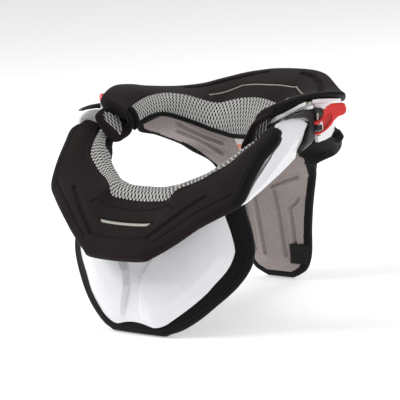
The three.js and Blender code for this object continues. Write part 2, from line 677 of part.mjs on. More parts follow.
// The pocket for the arm's eye is open to the side where the arm swings out
function clamp(open) {
  const { low, high, radius, root } = KNUCKLE;
  const knuckle = solid(cylinder(PIN, low, high, radius)).add(
    solid(block([root, PIN.y - radius, low], [PIN.x, PIN.y + radius, high])),
  );
  const barrel = CAP.radius + GAP;
  const [floor, roof] = [EYE.low - 2 * GAP, EYE.high + 2 * GAP];
  const wall = open ? CLAMP.outer + GAP : CLAMP.outer - CLAMP.skin;
  const pocket = solid(cylinder(BOLT, floor, roof, EYE.radius + 2 * GAP)).add(
    solid(block([CLAMP.inner - GAP, EYE.root - EYE.radius, floor], [wall, BOLT.y, roof])),
  );
  const prongRoom = solid(cylinder(PIN, PIN.low - GAP, low - GAP, barrel)).add(
    solid(cylinder(PIN, high + GAP, CAP.low - GAP, barrel)),
  );
  const bores = solid(cylinder(BOLT, EYE.low, LUG.high, BOLT.hole)).add(
    solid(cylinder(PIN, PIN.low, PIN.high, PIN.hole)),
  );
  const plate = clampPlate().subtract(prongRoom).subtract(pocket);
  return geometryOf(plate.add(knuckle).add(clampCap()).subtract(bores));
}

// Lever plate that stands upright on its pin, forked round the knuckle
function lever() {
  const { turn, half, bevel } = LEVER;
  const shape = new THREE.Shape(LEVER_OUTLINE.map(([out, z]) => new THREE.Vector2(out, z)));
  const plate = new THREE.ExtrudeGeometry(shape, {
    depth: 2 * (half - bevel),
    bevelThickness: bevel,
    bevelSize: bevel,
    bevelOffset: -bevel,
    bevelSegments: 1,
  });
  const upright = new THREE.Matrix4().makeBasis(point(1, 0, 0), UP, point(0, -1, 0));
  plate.translate(0, 0, bevel - half).applyMatrix4(upright);
  plate.rotateZ(THREE.MathUtils.degToRad(turn)).translate(PIN.x, PIN.y, 0);
  const bore = cylinder(PIN, PIN.low - GAP, PIN.high + GAP, PIN.hole);
  return geometryOf(solid(plate).subtract(solid(bore)));
}

// A headed round rod, turned about its own axis
function headedRod({ x, y }, low, shoulder, shank, head, rise) {
  const profile = [
    [0, low],
    [shank, low],
    [shank, shoulder],
    [head, shoulder],
    [head, shoulder + rise * 0.45],
    [head * 0.75, shoulder + rise * 0.85],
    [head * 0.4, shoulder + rise],
    [0, shoulder + rise],
  ];
  const turned = new THREE.LatheGeometry(profile.map(([r, z]) => new THREE.Vector2(r, z)), 14);
  return geometryOf(solid(turned.rotateX(Math.PI / 2).translate(x, y, 0)));
}

const bolt = () => headedRod(BOLT, BOLT.low, LUG.high + GAP, BOLT.shank, BOLT.head, BOLT.rise);
const pin = () => headedRod(PIN, PIN.low, CAP.high + GAP, PIN.radius, PIN.head, PIN.rise);

// Rear chassis: plate under the cushion, apron round the back and a lug for each bolt
const apronRings = smooth(APRON, 28, { bothSides: true }).map(({ foot, head }, i, rows) => {
  const before = rows[Math.max(i - 1, 0)].foot;
  const after = rows[Math.min(i + 1, rows.length - 1)].foot;
  const inwards = after.clone().sub(before).cross(UP).normalize().multiplyScalar(APRON_THICK);
  if (inwards.dot(foot.clone().sub(point(0, BOLT.y, foot.z))) > 0) inwards.negate();
  return [foot, head, head.clone().add(inwards), foot.clone().add(inwards)];
});

function rearChassis() {
  const reaches = smooth(REAR_PLATE, STEPS, { bothSides: true });
  const plate = loft(
    rearSections.map(({ seam, under }, i) => {
      const inner = moved(seam, [UP, -REAR_PAD.thick - GAP]);
      const start = mix(inner, moved(under, [UP, -GAP]), reaches[i].near);
      const end = mix(inner, moved(under, [UP, -GAP]), reaches[i].far);
      return [start, end, moved(end, [UP, -REAR_PLATE_THICK]), moved(start, [UP, -REAR_PLATE_THICK])];
    }),
  );
  const lug = solid(cylinder(BOLT, LUG.low, LUG.high, LUG.radius)).add(
    solid(block([LUG.inner, BOLT.y - LUG.radius, LUG.low], [BOLT.x, BOLT.y + LUG.radius, LUG.high])),
  );
  const bore = solid(cylinder(BOLT, LUG.low - GAP, LUG.high + GAP, BOLT.hole)).add(
    solid(cylinder(BOLT, LUG.high, LUG.high + LUG.head, BOLT.head + GAP)),
  );
  const earRoom = loft(grown(flapRings, GAP));
  const { inside, before, below, outside, behind } = ARM_ROOM;
  const armRoom = block(
    [CLAMP.inner - inside, EYE.root - before, PIN.low - below],
    [CLAMP.outer + outside, BOLT.y + EYE.radius + behind, LUG.low - GAP],
  );
  return geometryOf(
    solid(plate)
      .add(solid(loft(apronRings)))
      .add(bothSides(geometryOf(lug)))
      .subtract(rearRoom)
      .subtract(bothSides(geometryOf(bore)))
      .subtract(bothSides(earRoom))
      .subtract(bothSides(armRoom))
      .subtract(bothSides(geometryOf(clampRoom()))),
  );
}

function backPanel() {
  const panel = solid(loft(panelRings(BACK, 18, BACK_PANEL_THICK)));
  return geometryOf(panel.subtract(solid(loft(grown(apronRings, GAP)))).subtract(rearRoom));
}

const parts = new THREE.Group();
function add(name, geometry, look) {
  const mesh = new THREE.Mesh(geometry, new THREE.MeshStandardMaterial(look));
  mesh.name = name;
  parts.add(mesh);
}

function addPair(name, geometry, look) {
  add(name + "_left", geometry, look);
  add(name + "_right", mirror(geometry), look);
}

add("front_pad", loft(frontPadRings), black);
add("front_collar", loft(frontCollarRings), meshGrey);
add("front_strip", loft(stripRings), pale);
add("front_chassis", frontChassis(), white);
add("chest_plate", chestPlate(), white);
add("chest_pad", loft(chestPadRings), bound);
add("rear_pad", rearPad(), black);
add("rear_collar", loft(rearCollarRings), meshGrey);
add("rear_piping", loft(pipingRings), pale);
add("rear_chassis", rearChassis(), white);
add("back_panel", backPanel(), taupe);
add("back_tab", patch(BACK, TAB), bound);
add("care_label", patch(BACK, LABEL), white);
addPair("ear", ear(), black);
addPair("ear_mesh", loft(windowRings), meshGrey);
add("clamp_left", clamp(false), graphite);
add("clamp_right", mirror(clamp(true)), graphite);
addPair("lever", lever(), red);
addPair("lever_pin", pin(), steel);
addPair("bolt", bolt(), steel);

// The brace stands on the floor with its middle over the origin
const extent = new THREE.Box3().setFromObject(parts);
const middle = extent.getCenter(point(0, 0, 0));
parts.position.set(-middle.x, -middle.y, -extent.min.z);
const brace = new THREE.Group();
brace.add(parts);

export default brace;
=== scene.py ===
from math import copysign, cos, pi, radians, sin
import bpy
import bmesh
import numpy as np
from mathutils import Matrix, Vector


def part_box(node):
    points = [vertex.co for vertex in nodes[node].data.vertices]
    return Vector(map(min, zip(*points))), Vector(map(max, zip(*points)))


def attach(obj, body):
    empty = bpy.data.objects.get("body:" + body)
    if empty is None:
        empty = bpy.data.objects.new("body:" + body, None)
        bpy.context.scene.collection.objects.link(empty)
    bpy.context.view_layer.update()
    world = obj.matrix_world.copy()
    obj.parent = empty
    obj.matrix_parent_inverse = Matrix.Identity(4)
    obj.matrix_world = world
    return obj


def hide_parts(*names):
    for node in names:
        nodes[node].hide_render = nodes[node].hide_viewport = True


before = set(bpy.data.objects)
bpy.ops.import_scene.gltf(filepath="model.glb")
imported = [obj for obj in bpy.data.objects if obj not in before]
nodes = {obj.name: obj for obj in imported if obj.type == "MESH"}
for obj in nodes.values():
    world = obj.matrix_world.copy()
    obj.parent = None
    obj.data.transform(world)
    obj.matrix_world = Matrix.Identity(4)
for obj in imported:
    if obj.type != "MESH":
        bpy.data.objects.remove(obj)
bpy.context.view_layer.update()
scene = bpy.context.scene


def deselect():
    bpy.ops.object.select_all(action="DESELECT")


deselect()
print("frame loaded:", len(nodes), "solids")

mm = 0.001
ringShift = np.array([0.0, -53.669, 0.0])  # the tables are measured from the middle of the neck opening
upwards = np.array([0.0, 0.0, 1.0])
forwards = np.array([0.0, -1.0, 0.0])


# the photograph's camera
cameraView = dict(
    place=(1.16506, -1.41045, 0.47325),
    right=(0.77564, 0.62569, -0.08310),
    up=(-0.06280, 0.20750, 0.97622),
    back=(0.62805, -0.75198, 0.20024),
    lens=180.0, sensor=36.0, near=0.05, far=50,
)
cameraData = bpy.data.cameras.new("photoCamera")
cameraData.lens = cameraView["lens"]
cameraData.sensor_width = cameraView["sensor"]
cameraData.clip_start = cameraView["near"]
cameraData.clip_end = cameraView["far"]
camera = bpy.data.objects.new("photoCamera", cameraData)
scene.collection.objects.link(camera)
turn = Matrix((cameraView["right"], cameraView["up"], cameraView["back"])).transposed()
camera.matrix_world = Matrix.Translation(cameraView["place"]) @ turn.to_4x4()
scene.camera = camera
print("camera set")


# finishes
def linear(code):
    channels = [int(code[i:i + 2], 16) / 255 for i in (1, 3, 5)]
    spread = [c / 12.92 if c <= 0.04045 else ((c + 0.055) / 1.055) ** 2.4 for c in channels]
    return (*spread, 1.0)


def addNode(tree, kind, settings=None, inputs=None, links=None):
    node = tree.nodes.new("ShaderNode" + kind)
    for key, value in (settings or {}).items():
        setattr(node, key, value)
    for key, value in (inputs or {}).items():
        node.inputs[key].default_value = value
    for key, source in (links or {}).items():
        tree.links.new(source, node.inputs[key])
    return node


# a new material with its node tree, its shader and the object's own coordinates
def newMaterial(name, surface):
    material = bpy.data.materials.new(name)
    material.use_nodes = True
    tree = material.node_tree
    tree.nodes.clear()
    shader = addNode(tree, "BsdfPrincipled", inputs=surface)
    addNode(tree, "OutputMaterial", links={"Surface": shader.outputs["BSDF"]})
    return material, tree, shader, addNode(tree, "TexCoord").outputs["Object"]


def perMetre(size):
    return 1000.0 / size  # texture scale for a feature of that many millimetres


def noiseOn(tree, place, size, detail=2.0):
    return addNode(tree, "TexNoise", inputs={"Scale": perMetre(size), "Detail": detail},
                   links={"Vector": place}).outputs["Fac"]


def colourFrom(tree, shader, source, dark, light, low=0.0, high=1.0):
    ramp = addNode(tree, "ValToRGB", links={"Fac": source})
    for i, place, code in ((0, low, dark), (1, high, light)):
        ramp.color_ramp.elements[i].position = place
        ramp.color_ramp.elements[i].color = linear(code)
    tree.links.new(ramp.outputs["Color"], shader.inputs["Base Color"])


def roughFrom(tree, shader, source, low, high):
    dull = addNode(tree, "MapRange", inputs={"To Min": low, "To Max": high}, links={"Value": source})
    tree.links.new(dull.outputs["Result"], shader.inputs["Roughness"])


def bumpFrom(tree, shader, source, strength, depth):
    raised = addNode(tree, "Bump", inputs={"Strength": strength, "Distance": depth * mm},
                     links={"Height": source})
    tree.links.new(raised.outputs["Normal"], shader.inputs["Normal"])


clothLook = dict(cloud=38.0, cloudShare=0.45, darkAt=0.45, roughSpread=0.08, bump=0.6)


def cloth(name, dark, light, grain, gleam, rough, depth, ribs=None):
    material, tree, shader, place = newMaterial(name, {
        "Sheen Weight": 0.05, "Sheen Roughness": 0.5, "IOR": 1.46, "Specular IOR Level": gleam})
    fine = noiseOn(tree, place, grain, 3.0)
    broad = noiseOn(tree, place, clothLook["cloud"])
    both = addNode(tree, "Math", {"operation": "MULTIPLY_ADD"}, {1: clothLook["cloudShare"]},
                   {0: broad, 2: fine})
    colourFrom(tree, shader, both.outputs[0], dark, light, clothLook["darkAt"])
    roughFrom(tree, shader, fine, rough - clothLook["roughSpread"], rough + clothLook["roughSpread"])
    height = fine
    if ribs:
        wave = addNode(tree, "TexWave", {"bands_direction": ribs[0]},
                       {"Scale": perMetre(ribs[1]) / 20, "Distortion": 0.6, "Detail": 1.0}, {"Vector": place})
        both = addNode(tree, "Math", {"operation": "ADD"}, links={0: fine, 1: wave.outputs["Fac"]})
        height = both.outputs[0]
    bumpFrom(tree, shader, height, clothLook["bump"], depth)
    return material


# laminated jersey over moulded foam: matt warm black, fine grain drawn 1.1 mm wide so that it shows
padFabric = cloth("laminated_jersey", "#130c0d", "#271c1d", 1.1, 0.16, 0.82, 0.25)
# folded polyester tape: neutral black, closer and slightly smoother
tapeFabric = cloth("binding_tape", "#080809", "#19191a", 0.9, 0.16, 0.76, 0.3)
# spun polyester thread: a little lighter than the tape it holds
spunThread = cloth("spun_thread", "#131314", "#29292a", 0.5, 0.2, 0.7, 0.05)
# warp-knit spacer mesh: pale grey rounded threads round open holes
netFabric = cloth("spacer_mesh", "#bab9b6", "#dedddb", 0.8, 0.25, 0.8, 0.12)
# the knit under the mesh, seen down its holes: near black and dull
netBacking = cloth("spacer_backing", "#161514", "#2c2a28", 0.8, 0.1, 0.9, 0.1)
# brushed lining jersey: taupe, soft, low sheen
liningFabric = cloth("lining_jersey", "#8d8381", "#b8adaa", 1.0, 0.2, 0.82, 0.2)
# woven webbing: close ribs across its width
webbingFabric = cloth("webbing", "#0c0c0d", "#242425", 0.8, 0.2, 0.75, 0.4, ("Z", 1.6))

mouldedLook = dict(flow=55.0, shadeAt=0.35, colourAt=0.65, bump=0.5)


def moulded(name, colour, shade, rough, spread, coat, grain, depth):
    material, tree, shader, place = newMaterial(name, {
        "IOR": 1.5, "Coat Weight": coat, "Coat Roughness": 0.08})
    flow = noiseOn(tree, place, mouldedLook["flow"], 3.0)
    fine = noiseOn(tree, place, grain)
    colourFrom(tree, shader, flow, shade, colour, mouldedLook["shadeAt"], mouldedLook["colourAt"])
    roughFrom(tree, shader, fine, rough - spread, rough + spread)
    bumpFrom(tree, shader, fine, mouldedLook["bump"], depth)
    return material


# injection-moulded nylon in white: bright, even gloss with a faint flow in the surface
whiteNylon = moulded("white_nylon", "#f4f4f7", "#ececf0", 0.26, 0.05, 0.25, 2.0, 0.03)
# the same in red for the levers
redNylon = moulded("red_nylon", "#ea2a26", "#d81f1c", 0.34, 0.06, 0.2, 1.6, 0.04)
# glass-filled nylon: dark grey with a fine satin grain from the fibres
graphiteNylon = moulded("glass_filled_nylon", "#222223", "#18181a", 0.44, 0.1, 0.0, 0.9, 0.08)
# glass-bead reflective transfer film: pale grey-green, half gloss, minute beads
reflectiveFilm = moulded("reflective_film", "#b4b6ab", "#a3a59a", 0.5, 0.1, 0.0, 0.7, 0.05)


# zinc-plated steel: bright plating, a little clouded
def steelMaterial():
    material, tree, shader, place = newMaterial("zinc_plated_steel", {"Metallic": 1.0})
    fine = noiseOn(tree, place, 1.5, 3.0)
    colourFrom(tree, shader, fine, "#9a9488", "#c9c5bb")
    roughFrom(tree, shader, fine, 0.2, 0.36)
    return material


zincSteel = steelMaterial()


# printed satin label: white, with one plain band between two heights
def labelMaterial(low, high):
    material, tree, shader, place = newMaterial("label_satin", {"Roughness": 0.55, "Sheen Weight": 0.2})
    height = addNode(tree, "SeparateXYZ", links={"Vector": place}).outputs["Z"]
    over, under = (addNode(tree, "Math", {"operation": kind}, {1: level}, {0: height}).outputs[0]
                   for kind, level in (("GREATER_THAN", low), ("LESS_THAN", high)))
    band = addNode(tree, "Math", {"operation": "MULTIPLY"}, links={0: over, 1: under})
    mixed = addNode(tree, "Mix", {"data_type": "RGBA"}, {6: linear("#f2f0ee"), 7: linear("#ff9478")},
                    {0: band.outputs[0]})
    tree.links.new(mixed.outputs[2], shader.inputs["Base Color"])
    bumpFrom(tree, shader, noiseOn(tree, place, 0.8), 0.4, 0.1)
    return material


print("materials made:", len(bpy.data.materials))


# curves and sections shared by the padded pieces
def spline(values, t):
    values = np.asarray(values, float)
    low = np.clip(np.floor(t).astype(int), 0, len(values) - 2)
    w = (t - low)[:, None]
    longer = np.concatenate([[2 * values[0] - values[1]], values, [2 * values[-1] - values[-2]]])
    a, b, c, d = (longer[low + k] for k in range(4))
    m, n = (c - a) / 2, (d - b) / 2
    return b + m * w + (3 * c - 3 * b - 2 * m - n) * w ** 2 + (2 * b - 2 * c + m + n) * w ** 3


def lengths(path):
    return np.concatenate([[0], np.cumsum(np.linalg.norm(np.diff(path, axis=0), axis=1))])


# points of a path at distances along it
def pointsOn(path, run, s):
    return np.stack([np.interp(s, run, column) for column in path.T], axis=-1)


# sections of a ring at equal distances along it, from a table of one side
def evenSections(table, count, samples=1500):
    other = table[:0:-1].copy()
    other[..., 0] *= -1
    full = np.concatenate([other, table]).reshape(2 * len(table) - 1, -1)
    t = np.linspace(0, len(full) - 1, samples)
    dense = spline(full, t).reshape(samples, -1, 3)
    run = lengths((dense[:, 1] + dense[:, 2]) / 2)
    steps = np.interp(np.linspace(0, run[-1], count), run, t)
    return spline(full, steps).reshape(count, -1, 3), steps - (len(table) - 1)


def unit(vectors):
    return vectors / np.maximum(np.linalg.norm(vectors, axis=-1, keepdims=True), 1e-9)


# across the pad, out of its top and along the ring at each section
def directions(inner, outer):
    across = unit(outer - inner)
    along = unit(np.gradient((inner + outer) / 2, axis=0))
    up = unit(np.cross(along, across))
    up[up[:, 2] < 0] *= -1
    return across, up, along


def ease(value, low, high):
    t = np.clip((value - low) / (high - low), 0, 1)
    return t * t * (3 - 2 * t)


# least distance from points to a set of lines, each line given on one side and mirrored
def distanceTo(points, lines, mirrored=True):
    flat = points.reshape(-1, 3)
    best = np.full(len(flat), 1e9)
    for line in lines:
        for side in ((1, -1) if mirrored else (1,)):
            path = np.asarray(line, float) * np.array([side, 1, 1])
            for a, b in zip(path[:-1], path[1:]):
                t = np.clip((flat - a) @ (b - a) / max((b - a) @ (b - a), 1e-9), 0, 1)
                best = np.minimum(best, np.linalg.norm(flat - a - t[:, None] * (b - a), axis=1))
    return best.reshape(points.shape[:-1])


def metres(points):
    return (np.asarray(points, float).reshape(-1, 3) + ringShift) * mm


# a mesh whose first closedFaces faces are turned outwards; open sheets after these stay as they are
def addPiece(name, points, faces, materials, kinds=None, closedFaces=None, merge=0.0):
    mesh = bpy.data.meshes.new(name)
    mesh.from_pydata([tuple(p) for p in metres(points)], [], faces)
    for material in materials:
        mesh.materials.append(material)
    if kinds is not None:
        mesh.polygons.foreach_set("material_index", np.asarray(kinds, np.int32))
    work = bmesh.new()
    work.from_mesh(mesh)
    if merge:
        bmesh.ops.remove_doubles(work, verts=work.verts, dist=merge * mm)
    work.faces.ensure_lookup_table()
    bmesh.ops.recalc_face_normals(work, faces=work.faces[:closedFaces])
    work.to_mesh(mesh)
    work.free()
    mesh.shade_smooth()
    piece = bpy.data.objects.new(name, mesh)
    scene.collection.objects.link(piece)
    return piece


def settle(piece, body, replaced=()):
    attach(piece, body)
    if replaced:
        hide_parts(*replaced)
    print(piece.name + ":", len(piece.data.polygons), "faces")


# faces of a closed body through rings, with a flat face over each end
def tubeFaces(shape, start=0, closed=True):
    count, around = shape[:2]
    faces = []
    for base in range(start, start + (count - 1) * around, around):
        for j in range(around):
            k = (j + 1) % around
            faces.append((base + j, base + k, base + around + k, base + around + j))
    if closed:
        faces += [tuple(range(k, k + around)) for k in (start, start + (count - 1) * around)]
    return faces


def sheetFaces(n, m, start=0):
    return [(start + i * m + j, start + i * m + j + 1, start + (i + 1) * m + j + 1, start + (i + 1) * m + j)
            for i in range(n - 1) for j in range(m - 1)]


# outward directions in the plane of each ring, mitred at its corners
def ringNormals(ring, along):
    ahead = unit(np.roll(ring, -1, axis=0) - ring)
    side = np.cross(ahead, along)
    if np.sum(np.cross(ring - ring.mean(0), np.roll(ring, -1, axis=0) - ring.mean(0)) @ along) < 0:
        side = -side
    behind = np.roll(side, 1, axis=0)
    return (side + behind) / np.maximum(0.5, 1 + np.sum(side * behind, axis=1))[:, None]


# extra rings that round off both ends of a padded run
def roundedEnds(rings, across, up, along, wide, tall, length, steps):
    made = list(rings)
    for end, sign in ((0, -1), (-1, 1)):
        ring, a, u, t = rings[end], across[end], up[end], along[end]
        out = ringNormals(ring, t)
        extra = []
        for k in range(1, steps + 1):
            angle = pi / 2 * k / steps
            inset = 1 - cos(angle)
            pulled = ring - np.outer(out @ a, a) * wide * inset - np.outer(out @ u, u) * tall * inset
            extra.append(pulled + t * sign * length * sin(angle))
        made = extra[::-1] + made if end == 0 else made + extra
    return np.array(made)


def crownAt(share, shape):
    return shape["crown"] * (4 * share * (1 - share)) ** 0.75


lipCount, edgeCount, wallCount, footCount, underCount = 3, 5, 5, 4, 7  # columns of each part
lipFade, lipStart = (0.8, 4.5), (0, 0.012)


# profile of a table pad at each section: lip at the seam, crowned top, rounded edge, wall and flat underside
def padRings(seam, edge, under, across, up, shape, relief):
    wall = unit(edge - under)
    width = np.linalg.norm(edge - seam, axis=1)[:, None]
    inner = seam + across * shape["gap"]
    base = inner - upwards * shape["thick"]
    columns = [base, inner - upwards * (shape["thick"] * 0.5), inner + up * 0.1]

    def quarter(centre, start, end, steps):
        for k in range(1, steps + 1):
            angle = pi / 2 * k / steps
            columns.append(centre + (start * cos(angle) + end * sin(angle)) * shape["round"])

    for k, s in enumerate(np.linspace(0, 1, shape["cells"])):
        share = s * (1 - shape["round"] / width)
        lip = shape["lip"] * (1 - ease(share * width, *lipFade)) * ease(s, *lipStart)
        rise = crownAt(share, shape) + lip + relief[:, k:k + 1]
        columns.append(inner + (edge - inner) * share + up * rise)
    quarter(edge - (across + wall) * shape["round"], wall, across, edgeCount)
    height = np.linalg.norm(edge - under, axis=1)[:, None]
    for k in range(1, wallCount + 1):
        down = shape["round"] + (height - 2 * shape["round"]) * k / wallCount
        groove = shape["groove"] if k == shape["grooveAt"] else 0.0
        bulge = shape["bulge"] * sin(pi * k / (wallCount + 1))
        columns.append(edge - wall * down + across * (bulge - groove))
    quarter(under - (across - wall) * shape["round"], across, -wall, footCount)
    last = columns[-1]
    for k in range(1, underCount + 1):
        columns.append(last + (base - last) * k / (underCount + 1))
    return np.stack(columns, axis=1)


# several bodies as one; a single number is the kind of all faces of its body
def joined(parts):
    points, faces, kinds = [], [], []
    for some, made, sorts in parts:
        base = sum(len(p) for p in points)
        points.append(np.asarray(some).reshape(-1, 3))
        faces += [tuple(base + i for i in face) for face in made]
        kinds += [sorts] * len(made) if isinstance(sorts, int) else list(sorts)
    return np.concatenate(points), faces, kinds


# fabric on top, tape on the wall and the underside, and tape over the upper edge where a section is taped
def padKinds(rings, shape, width, wallTaped, topTaped):
    spare = (len(rings) - len(width)) // 2
    wallStart = lipCount + shape["cells"]
    wallEnd = wallStart + edgeCount + wallCount
    fromEdge = 1 - np.linspace(0, 1, shape["cells"])
    kinds = []
    for s in np.pad(np.arange(len(width)), spare, mode="edge")[:-1]:
        row = np.ones(rings.shape[1], int)
        row[lipCount - 1:wallStart] = 0
        row[wallStart:wallEnd] = 1 if wallTaped[s] else 0
        if topTaped[s]:
            row[lipCount + np.where(fromEdge * width[s] < shape["tape"])[0]] = 1
        kinds += list(row)
    return kinds + [1, 1]


# short raised stitches at an even pitch along a line on the surface
stitch = dict(pitch=3.4, length=2.4, wide=0.42, rise=0.34, sink=0.3, endRise=0.05, endWide=0.5,
              crest=0.6)


def stitchRow(path, facing):
    run = lengths(path)
    points, faces = [], []
    rises = (stitch["endRise"], stitch["rise"], stitch["endRise"])
    for s in np.arange(stitch["pitch"] / 2, run[-1] - stitch["pitch"] / 2, stitch["pitch"]):
        places = (s - stitch["length"] / 2, s, s + stitch["length"] / 2)
        spots = pointsOn(path, run, places)
        over = unit(pointsOn(facing, run, s))
        side = unit(np.cross(spots[2] - spots[0], over))
        faces += tubeFaces((3, 4), len(points))
        for spot, rise, wide in zip(spots, rises, (stitch["endWide"], 1, stitch["endWide"])):
            reach = side * stitch["wide"] * wide
            crest = reach * stitch["crest"]
            points += [spot - reach - over * stitch["sink"], spot - crest + over * rise,
                       spot + crest + over * rise, spot + reach - over * stitch["sink"]]
    return np.array(points), faces


# front half ring: inner rim, seam and outer edge at each row
frontTable = np.array([
    [0, -33, 129.5, 0, -46, 118.5, 0, -90, 77.5],
    [18, -33.5, 130, 20, -46, 119.5, 30, -88.8, 78.4],
    [30, -30.5, 132, 33, -45.5, 122, 39, -85.2, 81.6],
    [40, -26, 134, 40, -40, 130, 60, -75.5, 93.5],
    [50, -19, 137.5, 50, -33, 134, 80, -65, 107.6],
    [60, -12.4, 142, 60, -29, 138, 100, -52, 118.4],
    [68, -6.5, 147, 70, -24, 144, 112, -42, 126],
    [74.5, 3, 153.5, 81.6, -16, 150.5, 116, -28, 143],
    [80.5, 10, 158.5, 88, -5, 158, 119.4, -10, 160],
    [86.5, 19, 164, 93.5, 8, 164.5, 121.6, 2.4, 170],
    [92, 24, 168, 97, 18, 169.5, 115.4, 14.4, 175.4],
]).reshape(-1, 3, 3)
frontPad = dict(
    thick=7.4, crown=4, round=1.6, gap=0.4, lip=0.9, cells=62, groove=0.4, grooveAt=1,
    bulge=0.6, sections=380, ends=(4.5, 3.4, 3.5, 6),
    tape=6.5, tapeRise=0.5, tapeFrom=5.6, stitchIn=1.3,
    channel=[[(77, -47.2, 127.8), (56.5, -62, 112.6), (33, -76.6, 95)]],
    channelWide=3.6, channelDeep=2.0,
    creases=[[(30, -77.6, 94), (15, -79, 92.6), (0, -79.4, 92.2)],
             [(48, -57, 118.3), (42, -53.6, 120), (25, -55, 114.8), (8, -56.3, 112.7), (0, -56.5, 112.4)]],
    creaseWide=1.2, creaseDeep=1.6,
    edgeLine=8.5, edgeFrom=(1.8, 2.4), edgeTo=(5.8, 6.2), edgeDeep=1.3, edgeWide=1.2,
    slotAt=0.563, slotHalf=28, slotDeep=3.4, slotWide=0.9,
    tuck=4.6, tuckSpan=(5, 8), tuckEnd=0.7, tip=(5.4, -5.6, 4.2), tipSpan=(8, 10),
)
frontRows, frontSteps = evenSections(frontTable, frontPad["sections"])
rim, seam, edge = frontRows.swapaxes(0, 1)
# the soft wing over the wearer's left arm is pressed inwards, with its tip out over the arm's end
tipShare = ease(frontSteps, *frontPad["tipSpan"])
eased = 1 - (1 - frontPad["tuckEnd"]) * tipShare
edge[:, 0] -= frontPad["tuck"] * ease(frontSteps, *frontPad["tuckSpan"]) * eased
edge += tipShare[:, None] * np.array(frontPad["tip"])
across, up, along = frontBasis = directions(seam, edge)


# sewn channels and creases in a pad's top
def reliefOn(seam, edge, up, shape):
    width = np.linalg.norm(edge - seam, axis=1)[:, None]
    shares = np.linspace(0, 1, shape["cells"]) * (1 - shape["round"] / width)
    top = seam[:, None] + (edge - seam)[:, None] * shares[..., None]
    top = top + up[:, None] * crownAt(shares, shape)[..., None]
    channel = ease(distanceTo(top, shape["channel"]), shape["channelWide"] * 0.35, shape["channelWide"])
    crease = np.exp(-(distanceTo(top, shape["creases"]) / shape["creaseWide"]) ** 2)
    return -shape["channelDeep"] * (1 - channel) - shape["creaseDeep"] * crease


relief = reliefOn(seam, edge, up, frontPad)
frontWidth = np.linalg.norm(edge - seam, axis=1)
fromMiddle = np.abs(frontSteps)
taped = fromMiddle > frontPad["tapeFrom"]
fromEdge = (1 - np.linspace(0, 1, frontPad["cells"])) * frontWidth[:, None]
lined = ease(fromMiddle, *frontPad["edgeFrom"]) * (1 - ease(fromMiddle, *frontPad["edgeTo"]))
toLine = (fromEdge - frontPad["edgeLine"]) / frontPad["edgeWide"]
relief = relief - frontPad["edgeDeep"] * lined[:, None] * np.exp(-toLine ** 2)
# a recess over the reflective strip
slotEnds = np.exp(-((np.abs(seam[:, 0]) / (frontPad["slotHalf"] + 1)) ** 8))[:, None]
toSlot = (fromEdge - frontPad["slotAt"] * frontWidth[:, None]) / frontPad["slotWide"]
relief = relief - frontPad["slotDeep"] * slotEnds * np.exp(-toSlot ** 2)
onTape = 1 - ease(fromEdge, frontPad["tape"] - 0.4, frontPad["tape"] + 0.2)
relief = relief + taped[:, None] * frontPad["tapeRise"] * onTape
rings = padRings(seam, edge, edge - up * frontPad["thick"], across, up, frontPad, relief)
threads = []
for side in (-1, 1):
    chosen = np.where(taped & (np.sign(frontSteps) == side))[0][6:-6]
    inset = (frontPad["tape"] - frontPad["stitchIn"]) / frontWidth[chosen]
    column = (1 - inset) * (frontPad["cells"] - 1) + lipCount
    nearer = column.astype(int)
    weight = (column - nearer)[:, None]
    line = rings[chosen, nearer] * (1 - weight) + rings[chosen, nearer + 1] * weight
    threads.append((*stitchRow(line, up[chosen]), 2))
rings = roundedEnds(rings, *frontBasis, *frontPad["ends"])
padSorts = np.array(padKinds(rings, frontPad, frontWidth, taped, taped))
# painted shadow along the slot above the reflective strip: its three cells take the darker binding-tape black
# in place of the shade on the groove's upper wall
slotShadowCell = lipCount + int((1 - frontPad["slotAt"]) * (frontPad["cells"] - 1))
inSlot = np.where(np.abs(seam[:, 0]) < frontPad["slotHalf"])[0] + frontPad["ends"][-1]
for cell in (slotShadowCell - 1, slotShadowCell, slotShadowCell + 1):
    padSorts[inSlot * rings.shape[1] + cell] = 1
points, faces, kinds = joined([(rings, tubeFaces(rings.shape), padSorts), *threads])
settle(addPiece("front_pad_cover", points, faces, [padFabric, tapeFabric, spunThread], kinds),
       "front_half", ["front_pad"])


# spacer mesh: rows of long six-sided holes with rounded threads between them, laid on a curved grid
fanIn, fanOut = (0, 0.42), (0.6, 0.95)
sixSided = [(1, -1), (2, 0), (1, 1), (-1, 1), (-2, 0), (-1, -1)]


